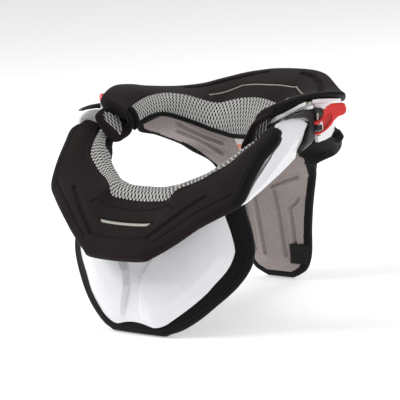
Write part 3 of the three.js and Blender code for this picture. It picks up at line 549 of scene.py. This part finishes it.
def netLayer(grid, shape, guide):
    rowPitch, crest, deep = (shape[k] for k in ("rowPitch", "crest", "deep"))
    steps, rows = grid.shape[:2]
    alongRun = lengths(grid[:, rows // 2])
    acrossRun = np.array([lengths(line) for line in grid])
    facing = unit(np.cross(np.gradient(grid, axis=0), np.gradient(grid, axis=1)))
    turned = np.sum(facing * guide) < 0
    if turned:
        facing = -facing
    columns = max(2, round(alongRun[-1] / shape["columnPitch"]))
    pitch = alongRun[-1] / columns
    corners = [(x * pitch / 3, y * rowPitch / 2) for x, y in sixSided]
    hole = [(x * shape["holeWide"], y * shape["holeTall"]) for x, y in corners]
    points, faces, kinds, known = [], [], [], {}

    # the index of a point on the grid; threads share their points, and the rows fan out by the shape's lean
    def laid(u, v, height, shared):
        key = (round(u, 2), round(v, 2)) if shared else None
        if shared and key in known:
            return known[key]
        place = 2 * u / alongRun[-1] - 1
        fan = copysign(ease(abs(place), *fanIn) * (1 - ease(abs(place), *fanOut)), place)
        u = u + shape["lean"] * fan * (acrossRun[steps // 2, -1] / 2 - v)
        fu = np.clip(np.interp(u, alongRun, np.arange(steps)), 0, steps - 1.001)
        i = int(fu)
        fv = np.clip(np.interp(v, acrossRun[i], np.arange(rows)), 0, rows - 1.001)
        j = int(fv)
        a, b = fu - i, fv - j
        weights = ((1 - a) * (1 - b), a * (1 - b), (1 - a) * b, a * b)
        cells = ((i, j), (i + 1, j), (i, j + 1), (i + 1, j + 1))
        points.append(sum(w * (grid[c] + facing[c] * height) for w, c in zip(weights, cells)))
        if shared:
            known[key] = len(points) - 1
        return len(points) - 1

    for c in range(columns + 1):
        u = c * pitch
        limit = np.interp(u, alongRun, acrossRun[:, -1])
        for r in range(int(limit / rowPitch) + 2):
            v = (r + 0.5 * (c % 2)) * rowPitch
            if v - rowPitch / 2 > limit:
                continue
            levels = []
            for loop, size, height in ((corners, 1, crest), (hole, 1, crest * 0.25), (hole, 0.92, -deep)):
                levels.append([laid(np.clip(u + x * size, 0, alongRun[-1]), np.clip(v + y * size, 0, limit),
                                    height, loop is corners) for x, y in loop])
            outer, middle, floor = levels
            for k in range(6):
                n = (k + 1) % 6
                faces.append((outer[k], outer[n], middle[n], middle[k]))
                faces.append((middle[k], middle[n], floor[n], floor[k]))
                kinds += [0, 1]
            faces.append(tuple(floor))
            kinds.append(1)
    if turned:
        faces = [tuple(reversed(face)) for face in faces]
    return np.array(points), faces, kinds


# the cushion under a net: backing on the share of its face that the net covers, tape elsewhere
def rollBody(stations, back, basis, ends, shares, columns=26):
    steps = np.linspace(0, stations.shape[1] - 1, columns)
    face = np.array([spline(s, steps) for s in stations])
    rings = roundedEnds(np.concatenate([face, back], axis=1), *basis, *ends)
    kinds = []
    for share in np.pad(shares, ends[-1], mode="edge")[:-1]:
        kinds += [1 if j < share * (columns - 1) else 2 for j in range(rings.shape[1])]
    return face, (rings, tubeFaces(rings.shape), kinds + [2, 2])


def meshPiece(name, solids, net, body, node):
    points, faces, kinds = joined([*solids, net])
    closedFaces = sum(len(part[1]) for part in solids)
    piece = addPiece(name, points, faces, [netFabric, netBacking, tapeFabric], kinds, closedFaces)
    work = bmesh.new()
    work.from_mesh(piece.data)
    bmesh.ops.dissolve_degenerate(work, edges=work.edges, dist=0.02 * mm)
    work.to_mesh(piece.data)
    work.free()
    settle(piece, body, [node])


roll = dict(rise=2.5, bulge=2.5, depth=11, ends=(3, 3, 2.5, 4), spare=4, netRows=22,
            columnPitch=1.95, rowPitch=8.8, lean=0, holeWide=0.72, holeTall=0.56,
            crest=0.4, deep=0.7, netShare=0.74, endShare=0.4, endSpan=(5.6, 7.4))
inwards = unit(rim - seam)
stations = np.stack([
    seam + up * 0.2,
    seam + (rim - seam) * 0.4 + up * roll["rise"],
    seam + (rim - seam) * 0.8 + up * roll["rise"] * 0.8,
    rim + inwards * roll["bulge"] * 0.5 - upwards,
    rim + inwards * roll["bulge"] - upwards * roll["depth"] * 0.45,
    rim - upwards * roll["depth"],
], axis=1)
rollBack = np.stack([rim - upwards * (roll["depth"] - 1) + (seam - rim) * 0.5,
                     seam - upwards * frontPad["thick"]], axis=1)
narrowing = (roll["endShare"] - roll["netShare"]) * ease(fromMiddle, *roll["endSpan"])
netShare = roll["netShare"] + narrowing
cushion = rollBody(stations, rollBack, frontBasis, roll["ends"], netShare)[1]
inner = slice(roll["spare"], -roll["spare"])
netGrid = np.array([spline(s, np.linspace(0, 5 * share, roll["netRows"]))
                    for s, share in zip(stations[inner], netShare[inner])])
net = netLayer(netGrid, roll, up[inner, None])
meshPiece("front_collar_mesh", [cushion], net, "front_half", "front_collar")


# reflective strip on the front pad
strip = dict(half=28, wide=2.7, thick=0.7, share=0.459, slant=4.0, within=60, crown=0.985,
             profile=[(-0.5, -0.6), (-0.5, 0.35), (-0.3, 0.7), (0, 0.8), (0.3, 0.7), (0.5, 0.35),
                      (0.5, -0.6)])
stripRows = []
for i in np.where(np.abs(seam[:, 0]) < strip["within"])[0]:
    middle = seam[i] + (edge[i] - seam[i]) * strip["share"]
    middle = middle + up[i] * frontPad["crown"] * strip["crown"]
    stripRows.append([middle + across[i] * w * strip["wide"] + up[i] * h * strip["thick"]
                      for w, h in strip["profile"]])
stripRows = np.array(stripRows)
stripSides = len(strip["profile"])
halves = strip["half"] + (0.5 - np.linspace(0, 1, stripSides)) * strip["slant"]
for j, half in enumerate(halves):
    line = stripRows[:, j].copy()
    stripRows[:, j] = pointsOn(line, line[:, 0], np.linspace(-half, half, len(line)))
settle(addPiece("reflective_strip", stripRows, tubeFaces(stripRows.shape), [reflectiveFilm]),
       "front_half", ["front_strip"])


# rear half ring: foot of the mesh face, seam, outer edge and the edge's underside at each row
rearTable = np.array([
    [0, 105, 149, 0, 132, 182, 0, 196, 200.5, 0, 195, 191.5],
    [11, 104, 150, 14, 130.4, 181.2, 20, 195.4, 200.1, 20, 194, 191],
    [21, 102, 153, 26.6, 127.5, 179, 35, 193.4, 198.7, 35, 192.2, 189.6],
    [31, 98.6, 156.4, 36, 123.6, 177, 50, 184.6, 197, 50, 183.6, 187.4],
    [39, 94.3, 160.7, 44, 119, 178.5, 68, 169.2, 193.2, 68, 168, 183.4],
    [46.6, 89, 165, 52, 113.5, 182, 84, 155, 189.8, 84, 154, 180.8],
    [53.5, 83, 169, 62.5, 104, 187.4, 104, 134, 189.8, 104, 133, 182],
    [59.7, 76, 173, 72.7, 91, 191.2, 123.4, 108.4, 193.7, 122.6, 107.6, 190.5],
    [64, 69.5, 174.8, 78, 81, 191.6, 129, 97, 197.2, 128, 95, 194],
    [68, 63, 174.5, 82, 72, 190.8, 124, 75, 200.4, 123, 75, 196.8],
    [71, 55.5, 172.8, 83.5, 62, 188.8, 118, 58, 200.8, 118, 58, 197.2],
    [73, 49.5, 170.5, 82.5, 52, 186.8, 112, 46, 199.8, 114, 44.5, 195],
    [74.5, 43, 167.5, 80, 42, 185, 107, 36.5, 197.6, 110, 34.5, 191.4],
    [75, 36, 165, 77, 34.5, 183, 101, 31, 195, 103, 29.5, 186.5],
]).reshape(-1, 4, 3)
rearPad = dict(
    thick=8.5, crown=3, round=1.5, gap=0.4, lip=0.7, cells=60, groove=0.9, grooveAt=3,
    bulge=0.5, sections=400, ends=(4, 3.6, 3, 6),
    channel=[[(22, 182, 198.3), (36, 178, 196.2), (55, 162, 192), (80, 128.5, 190.6)]],
    channelWide=4.4, channelDeep=2.8,
    creases=[[(0, 154.2, 191), (31, 154.2, 189.8), (54, 131, 187)]], creaseWide=1.6, creaseDeep=1.3,
)
rearRows, rearSteps = evenSections(rearTable, rearPad["sections"])
low, rearSeam, rearEdge, rearUnder = rearRows.swapaxes(0, 1)
rearAcross, rearUp, _ = rearBasis = directions(rearSeam, rearEdge)
relief = reliefOn(rearSeam, rearEdge, rearUp, rearPad)
rings = padRings(rearSeam, rearEdge, rearUnder, rearAcross, rearUp, rearPad, relief)
rearTop = rings[:, lipCount:lipCount + rearPad["cells"]].reshape(-1, 3)
rings = roundedEnds(rings, *rearBasis, *rearPad["ends"])
rearWidth = np.linalg.norm(rearEdge - rearSeam, axis=1)
never = np.zeros(len(rearWidth), bool)
kinds = padKinds(rings, rearPad, rearWidth, ~never, never)
settle(addPiece("rear_pad_cover", rings, tubeFaces(rings.shape), [padFabric, tapeFabric], kinds),
       "rear_half", ["rear_pad"])


def tube(path, radius, sides=10):
    tangents = unit(np.gradient(path, axis=0))
    side = unit(np.cross(tangents, upwards))
    over = np.cross(side, tangents)
    angles = np.linspace(0, 2 * pi, sides, endpoint=False)
    return np.array([[p + radius * (s * cos(a) + o * sin(a)) for a in angles]
                     for p, s, o in zip(path, side, over)])


rearFace = dict(bulge=3, depth=8, lift=3, ends=(2.5, 2.5, 2.5, 4), columnPitch=1.5, rowPitch=9,
                lean=0.32, holeWide=0.72, holeTall=0.52, crest=0.4, deep=0.7,
                endStep=12.1, roll=2.2, rollOut=0.2, band=3.0, bandOut=0.4)
faceBasis = directions(low, rearSeam)
faceUp = faceBasis[1]
stations = np.stack([
    rearSeam + rearUp * 0.1,
    rearSeam + (low - rearSeam) * 0.33 + faceUp * rearFace["bulge"] * 0.9,
    rearSeam + (low - rearSeam) * 0.7 + faceUp * rearFace["bulge"],
    low,
], axis=1)
faceBack = np.stack([low - faceUp * rearFace["depth"] + upwards * rearFace["lift"],
                     rearSeam - upwards * (rearPad["thick"] + 0.4)], axis=1)
covered = np.where(np.abs(rearSteps) < rearFace["endStep"])[0]
first, last = covered[0], covered[-1]
inNet = np.zeros(len(rearSteps))
inNet[first:last] = 1
meshFace, cushion = rollBody(stations, faceBack, faceBasis, rearFace["ends"], inNet)
net = netLayer(meshFace[first:last + 1], rearFace, faceUp[first:last + 1, None])
# a black roll along the foot of the mesh and a black band at each end
bands = [tube((low + faceUp * rearFace["rollOut"])[4:-4:2], rearFace["roll"])]
bands += [tube(meshFace[i] + faceUp[i] * rearFace["bandOut"], rearFace["band"]) for i in (first, last)]
solids = [cushion] + [(made, tubeFaces(made.shape), 2) for made in bands]
meshPiece("rear_collar_mesh", solids, net, "rear_half", "rear_collar")

# piping laid on the rear pad's top
piping = dict(radius=0.7, line=[(-50.8, 126.4), (-27, 154.3), (34, 154.2), (56.5, 133.5)], sink=0.3,
              steps=90, sides=8)


def heightOn(surface, x, y):
    gap = np.hypot(surface[:, 0] - x, surface[:, 1] - y)
    best = np.argsort(gap)[:4]
    weight = 1 / (gap[best] + 0.05)
    return float(surface[best, 2] @ weight / weight.sum())


line = np.array(piping["line"])
run = lengths(line)
pipePath = []
for x, y in pointsOn(line, run, np.linspace(0, run[-1], piping["steps"])):
    pipePath.append((x, y, heightOn(rearTop, x, y) + piping["radius"] - piping["sink"]))
pipeTube = tube(np.array(pipePath), piping["radius"], piping["sides"])
settle(addPiece("rear_piping_cord", pipeTube, tubeFaces(pipeTube.shape), [reflectiveFilm]),
       "rear_half", ["rear_piping"])


# panels: each row of a table has the y and z of its middle, the x, y and z of its edge, and a hump between
def panelPoint(row, share):
    midY, midZ, edgeX, edgeY, edgeZ, hump = row
    reach = np.abs(share)
    y = midY + (edgeY - midY) * reach ** 2.4
    z = midZ + (edgeZ - midZ) * reach ** 2 + hump * np.sin(pi * np.minimum(reach, 1))
    return np.stack([edgeX * share, y, z], axis=-1)


def panelGrid(table, shape, samples=1200, closeness=0.96):
    t = np.linspace(0, len(table) - 1, samples)
    dense = spline(table, t)
    run = lengths(dense[:, [0, 1]] + dense[:, [3, 4]])
    rows = spline(table, np.interp(np.linspace(0, run[-1], shape["rows"]), run, t))
    quarter = pi / 2 * closeness
    shares = np.sin(np.linspace(-1, 1, shape["columns"]) * quarter) / sin(quarter)
    return np.array([panelPoint(row, shares) for row in rows])


def edgeDistance(grid):
    return distanceTo(grid, [np.concatenate([grid[:0:-1, 0], grid[0], grid[1:, -1]])], mirrored=False)


# the line on a sheet at one distance from its outline, down one side, along the foot and up the other
def seamLine(sheet, toEdge, distance):
    n, m = toEdge.shape

    def crossing(cells):
        for a, b in zip(cells, cells[1:]):
            if toEdge[a] < distance <= toEdge[b]:
                w = (distance - toEdge[a]) / (toEdge[b] - toEdge[a])
                return sheet[a] * (1 - w) + sheet[b] * w
        return None

    left = [crossing([(i, j) for j in range(m // 2)]) for i in range(n)]
    right = [crossing([(i, j) for j in range(m - 1, m // 2, -1)]) for i in range(n)]
    rows = [i for i in range(n) if left[i] is not None and right[i] is not None]
    start = rows[0]
    columns = [j for j in range(m) if left[start][0] < sheet[start, j, 0] < right[start][0]]
    foot = [crossing([(i, j) for i in range(n // 2)]) for j in columns]
    foot = [p for p in foot if p is not None]
    return np.array([left[i] for i in rows[::-1]] + foot + [right[i] for i in rows])


# a front and a back sheet that meet in a rounded bound edge, with a row of stitches on the binding
def paddedPanel(name, table, shape, materials, relief=lambda grid: 0.0, faced=False):
    grid = panelGrid(table, shape)
    grid[..., 2] = np.maximum(grid[..., 2], 0)
    toEdge = edgeDistance(grid)
    bend = 1 - np.minimum(toEdge / shape["round"], 1)
    half = shape["thick"] / 2 * np.sqrt(np.maximum(1 - bend ** 2, 0))
    bound = 1 - ease(toEdge, shape["bound"] - 0.5, shape["bound"] + 0.5)
    facing = unit(np.cross(np.gradient(grid, axis=1), np.gradient(grid, axis=0)))
    facing[facing[..., 1] > 0] *= -1
    middle = grid - facing * shape["thick"] / 2
    tapeStep = bound * shape["step"] * np.minimum(half / shape["thick"] * 4, 1)
    pressed = relief(grid) * (1 - bound) * np.minimum(half / shape["thick"] * 2, 1)
    front = middle + facing * (half + pressed + tapeStep)[..., None]
    back = middle - facing * (half + tapeStep)[..., None]
    sheets = np.stack([front, back])
    sheets[..., 2] = np.maximum(sheets[..., 2], 0)
    n, m = grid.shape[:2]
    top = (n - 1) * m
    faces = sheetFaces(n, m) + sheetFaces(n, m, n * m)
    faces += [(top + j, top + j + 1, n * m + top + j + 1, n * m + top + j) for j in range(m - 1)]
    edged = bound > 0.5
    kinds = [*np.where(edged | faced, 1, 0)[:-1, :-1].ravel(), *np.where(edged, 1, 2)[:-1, :-1].ravel()]
    kinds += [1] * (m - 1)
    line = seamLine(sheets[0], toEdge, shape["bound"] - shape["stitchIn"])
    thread = stitchRow(line, np.tile([0, -1.0, 0.15], (len(line), 1)))
    points, faces, kinds = joined([(sheets, faces, kinds), (*thread, 3)])
    return addPiece(name, points, faces, materials, kinds, merge=0.02)


backTable = np.array([
    [151, 0, 15, 151, 0, 0], [150, 4, 23.5, 150, 4, 0], [148.5, 10, 31.5, 149, 10, 0],
    [146, 25, 39, 149, 25, 0], [142, 52, 44, 146, 52, 0], [138, 78, 50.4, 142.5, 78, 0],
    [133.5, 100, 58.6, 139.5, 104, 0], [131.6, 107, 62.4, 136.8, 112.6, 0], [130, 112, 68, 133, 119.6, 0],
    [127, 120, 83, 128.5, 126.4, 2], [124, 127, 99, 126, 135, 5], [121, 134, 112, 110, 145, 8],
    [118.5, 141, 120, 98, 149, 14], [116.5, 149, 119, 93, 155, 22],
])
backPanel = dict(
    rows=170, columns=130, thick=8, round=4, bound=7, step=0.7, stitchIn=1.4,
    ribDeep=2.6, ribWide=1.7, bead=0.9,
    wingFrom=51, wingAbove=127, bandFrom=52.6, bandAbove=102, bandSlope=0.12,
    ribs=[[(12.6, 135.6, 91), (12.9, 141.4, 57), (12.6, 146, 25)],
          [(38, 139.4, 84), (34, 139.6, 79.3), (27, 139.5, 75), (26.5, 142.6, 54), (25, 146.5, 27)],
          [(10.7, 134.7, 95.4), (27.3, 134.4, 101.8), (41.3, 135.2, 106.1)],
          [(79.6, 109.3, 159), (72.7, 113.3, 153), (54.3, 119.3, 144), (36, 121.8, 138.2)],
          [(83, 112.8, 150), (63.2, 121.6, 139.6), (40.7, 126.3, 127.8)]],
)


# grooves between low beads
def liningRelief(grid):
    gap = distanceTo(grid, backPanel["ribs"])
    beads = backPanel["bead"] * np.exp(-((gap - 2 * backPanel["ribWide"]) / backPanel["ribWide"]) ** 2)
    return beads - backPanel["ribDeep"] * np.exp(-(gap / backPanel["ribWide"]) ** 2)


# the wearer's left wing and the edge below it are faced with tape
backX, backZ = np.moveaxis(panelGrid(backTable, backPanel)[..., [0, 2]], -1, 0)
over = backZ - backPanel["bandAbove"]
wing = (backX > backPanel["wingFrom"]) & (backZ > backPanel["wingAbove"])
wing |= (over > 0) & (backX > backPanel["bandFrom"] + backPanel["bandSlope"] * over)
materials = [liningFabric, tapeFabric, padFabric, spunThread]
settle(paddedPanel("back_panel_lining", backTable, backPanel, materials, liningRelief, wing),
       "rear_half", ["back_panel"])

chestTable = np.array([
    [-66, 0, 30, -65, 0, 0], [-66, 6, 44.5, -62.2, 6, 0], [-65.5, 16, 63, -53.8, 15.5, 0],
    [-63.4, 30, 80.6, -44.2, 30, 0], [-58, 44, 95.4, -33.8, 45, 0], [-53.5, 58, 104.6, -26.2, 60, 0],
    [-50, 70, 106.8, -21.2, 75, 0], [-48, 78, 103, -18, 92, 0],
    [-46, 84, 97, -17, 110, 0], [-45.4, 88, 92, -14, 121, 0],
])
chestPad = dict(rows=110, columns=120, thick=8, round=4, bound=7, step=0.5, stitchIn=1.4)
materials = [tapeFabric, tapeFabric, padFabric, spunThread]
settle(paddedPanel("chest_pad_cover", chestTable, chestPad, materials),
       "front_half", ["chest_pad"])


# small sewn pieces on the lining
def patchPiece(name, span, material, node):
    rows = spline(backTable, np.linspace(span["from"], span["to"], 14) * (len(backTable) - 1))
    shares = np.linspace(span["near"], span["far"], 14)
    grid = np.array([panelPoint(row, shares) for row in rows])
    front = grid + forwards * (span["off"] + span["thick"])
    back = grid + forwards * span["off"]
    n, m = grid.shape[:2]
    around = [*range(m), *range(2 * m - 1, n * m, m), *range(n * m - 2, (n - 1) * m - 1, -1),
              *range((n - 2) * m, 0, -m)]
    faces = sheetFaces(n, m) + sheetFaces(n, m, n * m)
    faces += [(a, b, n * m + b, n * m + a) for a, b in zip(around, around[1:] + around[:1])]
    settle(addPiece(name, np.stack([front, back]), faces, [material]), "rear_half", [node])


tab = {"from": 0.1966, "to": 0.2677, "near": 0.48, "far": 0.95, "thick": 1.5, "off": 0.3}
patchPiece("webbing_tab", tab, webbingFabric, "back_tab")
label = {"from": 0.782, "to": 0.95, "near": -0.145, "far": -0.05, "thick": 0.6, "off": 0.4,
         "band": (0.1335, 0.1385)}
patchPiece("care_label_cloth", label, labelMaterial(*label["band"]), "care_label")


# chest plate: two lobes beside a waisted channel, heights against half widths
shellTable = np.array([
    [-69.6, 12.4, 13, -69.4, 10.8, 0], [-69.5, 13.4, 22, -68.7, 8.6, 0], [-69.4, 15.2, 32, -66.9, 11, 0],
    [-69.2, 18, 42, -64.5, 17, 0], [-67.5, 28, 60.6, -56, 31, 0], [-63.9, 41, 75.8, -45.2, 46, 0],
    [-60.3, 54, 87.4, -36.8, 60, 0], [-57.6, 65, 91.4, -31.8, 74, 0], [-54.8, 79, 88.4, -30.2, 89, 0],
    [-52, 91, 83.4, -30.2, 104, 0], [-50, 98, 79.4, -29.2, 114, 0],
])
shell = dict(
    rows=130, columns=190, thick=2.6, lobe=5.4, wall=4.2, rim=4.5, drop=1.8,
    rise=(2, 30), riseShare=0.45, flat=(0, 14),
    heights=[8, 17, 30, 45, 58, 68, 85], waist=[12, 9.5, 7.5, 5.8, 8.5, 15.5, 30],
)


def evenNormals():
    bpy.ops.object.mode_set(mode="EDIT")
    bpy.ops.mesh.select_all(action="SELECT")
    bpy.ops.mesh.normals_make_consistent()
    bpy.ops.object.mode_set(mode="OBJECT")


grid = panelGrid(shellTable, shell)
toEdge = edgeDistance(grid)
gapX = np.abs(grid[..., 0]) - np.interp(grid[..., 2], shell["heights"], shell["waist"])
swell = shell["lobe"] * ease(gapX, 0, shell["wall"]) * ease(toEdge, *shell["flat"])
risen = ease(toEdge, *shell["rise"])
swell = swell * (1 - shell["riseShare"] + shell["riseShare"] * risen)
rimDrop = shell["drop"] * (1 - np.minimum(toEdge / shell["rim"], 1))
face = grid + forwards * (swell - rimDrop)[..., None]
deselect()
bpy.ops.mesh.primitive_grid_add(x_subdivisions=shell["columns"] - 1,
                                y_subdivisions=shell["rows"] - 1, size=1)
plate = bpy.context.active_object
plate.name = plate.data.name = "chest_plate_shell"
plate.data.vertices.foreach_set("co", metres(face).astype(np.float32).ravel())
plate.data.materials.append(whiteNylon)
evenNormals()
wall = plate.modifiers.new("wall", "SOLIDIFY")
wall.thickness = shell["thick"] * mm
wall.offset = -1 if plate.data.polygons[len(plate.data.polygons) // 2].normal.y < 0 else 1
bpy.ops.object.modifier_apply(modifier="wall")
bpy.ops.object.shade_smooth_by_angle(angle=radians(40))
settle(plate, "front_half", ["chest_plate"])


# ears: padded frames that hang from the cushion's ends, each round a mesh window
ear = dict(
    foot=(75, 0, 160.5), top=(92.5, 0, 185), thick=5.4, plane=2.2, middle=(26, 18),
    turns=84, around=20,
    outer=[(6, 23), (8, 29), (13.3, 32), (19, 34), (26.2, 35), (34.5, 33), (41, 28.5), (45.5, 21), (46, 13),
           (42, 5), (34, 1), (27, -0.6), (18.8, -2.1), (10.5, -0.8), (7.5, 3), (6.6, 12)],
    window=[(21, 31), (29, 28), (35.4, 23), (35, 16), (31.5, 10), (23.5, 4), (20.6, 13), (16.4, 23)],
    netY=(10, 42), netS=(0, 34), netCells=24, netUnder=2,
    columnPitch=2.1, rowPitch=8.4, lean=0, holeWide=0.76, holeTall=0.56, crest=0.3, deep=0.5,
)


# distance from the middle of an ear to a closed outline in each direction
def reachOf(outline, turns):
    loop = np.array(outline, float) - ear["middle"]
    count = len(loop)
    dense = spline(np.concatenate([loop[-2:], loop, loop[:3]]), np.linspace(2, count + 2, 600))
    bearing = np.arctan2(dense[:, 1], dense[:, 0])
    order = np.argsort(bearing)
    return np.interp(turns, bearing[order], np.hypot(dense[:, 0], dense[:, 1])[order], period=2 * pi)


def makeEar(side, name):
    foot, top = np.array(ear["foot"], float), np.array(ear["top"], float)
    slope = unit(top - foot)
    out = np.array([slope[2], 0, -slope[0]])
    base = foot + out * ear["plane"]
    midY, midS = ear["middle"]
    turns = np.linspace(-pi, pi, ear["turns"], endpoint=False)
    rings = []
    for turn, near, far in zip(turns, reachOf(ear["window"], turns), reachOf(ear["outer"], turns)):
        ring = []
        for angle in np.linspace(0, 2 * pi, ear["around"], endpoint=False):
            reach = near + (far - near) * (0.5 - 0.5 * cos(angle))
            y, s = midY + reach * cos(turn), midS + reach * sin(turn)
            ring.append(base + slope * s - forwards * y - out * ear["thick"] / 2 * sin(angle))
        rings.append(ring)
    rings.append(rings[0])
    rings = np.array(rings)
    frameFaces = tubeFaces(rings.shape, closed=False)
    netY, netS = np.meshgrid(*(np.linspace(*ear[k], ear["netCells"]) for k in ("netY", "netS")),
                             indexing="ij")
    spots, netFaces, sorts = netLayer(base + slope * netS[..., None] - forwards * netY[..., None], ear, -out)
    awayY, awayS = spots[:, 1] - midY, (spots - base) @ slope - midS
    window = reachOf(ear["window"], np.arctan2(awayS, awayY))
    within = np.hypot(awayS, awayY) < window + ear["netUnder"]
    kept = [k for k, face in enumerate(netFaces) if all(within[i] for i in face)]
    used = sorted({i for k in kept for i in netFaces[k]})
    place = {old: new for new, old in enumerate(used)}
    net = (spots[used], [tuple(place[i] for i in netFaces[k]) for k in kept], [sorts[k] for k in kept])
    points, faces, kinds = joined([(rings, frameFaces, 2), net])
    points = points * np.array([side, 1, 1])
    if side < 0:
        faces = [tuple(reversed(face)) for face in faces]
    materials = [netFabric, netBacking, padFabric]
    settle(addPiece("ear_pad_" + name, points, faces, materials, kinds, len(frameFaces)),
           "rear_half", ["ear_" + name, "ear_mesh_" + name])


makeEar(1, "left")
makeEar(-1, "right")


# moulded and metal solids keep their shape and get edges and finishes
def finishSolid(node, material, edge, crease=38):
    piece = nodes[node]
    piece.data.materials.clear()
    piece.data.materials.append(material)
    weld = piece.modifiers.new("weld", "WELD")
    weld.merge_threshold = 0.02 * mm
    bevel = piece.modifiers.new("edges", "BEVEL")
    bevel.width = edge * mm
    bevel.segments = 2
    bevel.limit_method = "ANGLE"
    bevel.angle_limit = radians(crease)
    piece.data.shade_smooth()
    piece.modifiers.new("shading", "WEIGHTED_NORMAL")


for side in ("left", "right"):
    finishSolid("clamp_" + side, graphiteNylon, 0.5)
    finishSolid("lever_" + side, redNylon, 0.6)
    finishSolid("lever_pin_" + side, zincSteel, 0.2)
finishSolid("front_chassis", whiteNylon, 0.6, 18)
finishSolid("rear_chassis", whiteNylon, 0.6)
print("solids finished")

# a thin web closes the back of each lever's slot: distance out from the pin, and height
leverWeb = dict(turn=32, offset=-1.2, thick=1.4,
                outline=[(4, 177.4), (11.2, 183.9), (12.9, 181.8), (12.9, 177.8), (9.7, 173.2), (4, 168.4)])


def makeWeb(side, name):
    low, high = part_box("lever_pin_" + name)
    turn = radians(leverWeb["turn"])
    out = np.array([side * cos(turn), sin(turn), 0])
    facing = np.array([side * sin(turn), -cos(turn), 0])
    middle = np.array([(low[0] + high[0]) / 2, (low[1] + high[1]) / 2, 0]) + facing * leverWeb["offset"] * mm
    corners = [middle + (out * reach + upwards * z) * mm for reach, z in leverWeb["outline"]]
    deselect()
    bpy.ops.mesh.primitive_circle_add(vertices=len(corners), fill_type="NGON")
    web = bpy.context.active_object
    web.name = web.data.name = "lever_web_" + name
    web.data.vertices.foreach_set("co", np.array(corners, np.float32).ravel())
    web.data.materials.append(redNylon)
    wall = web.modifiers.new("wall", "SOLIDIFY")
    wall.thickness = leverWeb["thick"] * mm
    wall.offset = 0
    bpy.ops.object.modifier_apply(modifier="wall")
    evenNormals()
    settle(web, "lever_" + name)


makeWeb(1, "left")
makeWeb(-1, "right")

# bolts: a pan head with a six-sided socket over a plain shank
bolt = dict(head=4.4, rise=3.0, shank=2.0, round=1.3, socket=2.3, socketDeep=1.8, overlap=0.2)


def addCylinder(sides, radius, low, high, centre):
    deselect()
    bpy.ops.mesh.primitive_cylinder_add(vertices=sides, radius=radius, depth=high - low,
                                        location=(centre[0], centre[1], (low + high) / 2))
    return bpy.context.active_object


def makeBolt(name):
    low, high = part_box("bolt_" + name)
    centre = ((low[0] + high[0]) / 2, (low[1] + high[1]) / 2)
    shoulder = high[2] - bolt["rise"] * mm
    head = addCylinder(48, bolt["head"] * mm, shoulder, high[2], centre)
    bpy.ops.object.mode_set(mode="EDIT")
    work = bmesh.from_edit_mesh(head.data)
    for edge in work.edges:
        edge.select = all(v.co.z > 0 for v in edge.verts)
    work.select_flush_mode()
    bpy.ops.mesh.bevel(offset=bolt["round"] * mm, segments=5, affect="EDGES")
    bpy.ops.object.mode_set(mode="OBJECT")
    depth = bolt["socketDeep"] * mm
    socket = addCylinder(6, bolt["socket"] * mm, high[2] - depth, high[2] + mm, centre)
    cut = head.modifiers.new("socket", "BOOLEAN")
    cut.operation = "DIFFERENCE"
    cut.object = socket
    deselect()
    head.select_set(True)
    bpy.context.view_layer.objects.active = head
    bpy.ops.object.modifier_apply(modifier="socket")
    bpy.data.objects.remove(socket)
    addCylinder(32, bolt["shank"] * mm, low[2], shoulder + bolt["overlap"] * mm, centre)
    head.select_set(True)
    bpy.context.view_layer.objects.active = head
    bpy.ops.object.join()
    bpy.ops.object.transform_apply()
    bpy.ops.object.shade_smooth_by_angle(angle=radians(35))
    head.name = head.data.name = "pan_bolt_" + name
    head.data.materials.append(zincSteel)
    settle(head, "rear_half", ["bolt_" + name])


makeBolt("left")
makeBolt("right")


# floor and light
deselect()
bpy.ops.mesh.primitive_plane_add(size=12, location=(0, 0, -0.0005))
floor = bpy.context.active_object
floor.name = "floor"
# white backdrop paper, a little bright of itself
floor.data.materials.append(newMaterial("floor_paper", {
    "Base Color": linear("#fbfbfb"), "Roughness": 0.9, "Emission Color": linear("#ffffff"),
    "Emission Strength": 0.4})[0])

world = bpy.data.worlds.new("studio")
scene.world = world
world.use_nodes = True
backdrop = world.node_tree.nodes["Background"].inputs
backdrop["Color"].default_value = (1, 1, 1, 1)
backdrop["Strength"].default_value = 0.35


def softLight(name, place, target, size, power):
    data = bpy.data.lights.new(name, "AREA")
    data.shape = "DISK"
    data.size = size
    data.energy = power
    lamp = bpy.data.objects.new(name, data)
    scene.collection.objects.link(lamp)
    lamp.location = place
    lamp.rotation_euler = (Vector(target) - Vector(place)).to_track_quat("-Z", "Y").to_euler()


softLight("keyLight", (-1.5, -1.2, 1.6), (0, 0, 0.12), 1.1, 32)
softLight("fillLight", (1.9, 0.3, 1.0), (0, 0, 0.12), 1.2, 9)
softLight("backLight", (0.3, 1.5, 1.4), (0, 0, 0.15), 1.2, 8)
scene.view_settings.view_transform = "Standard"
print("stage lit")
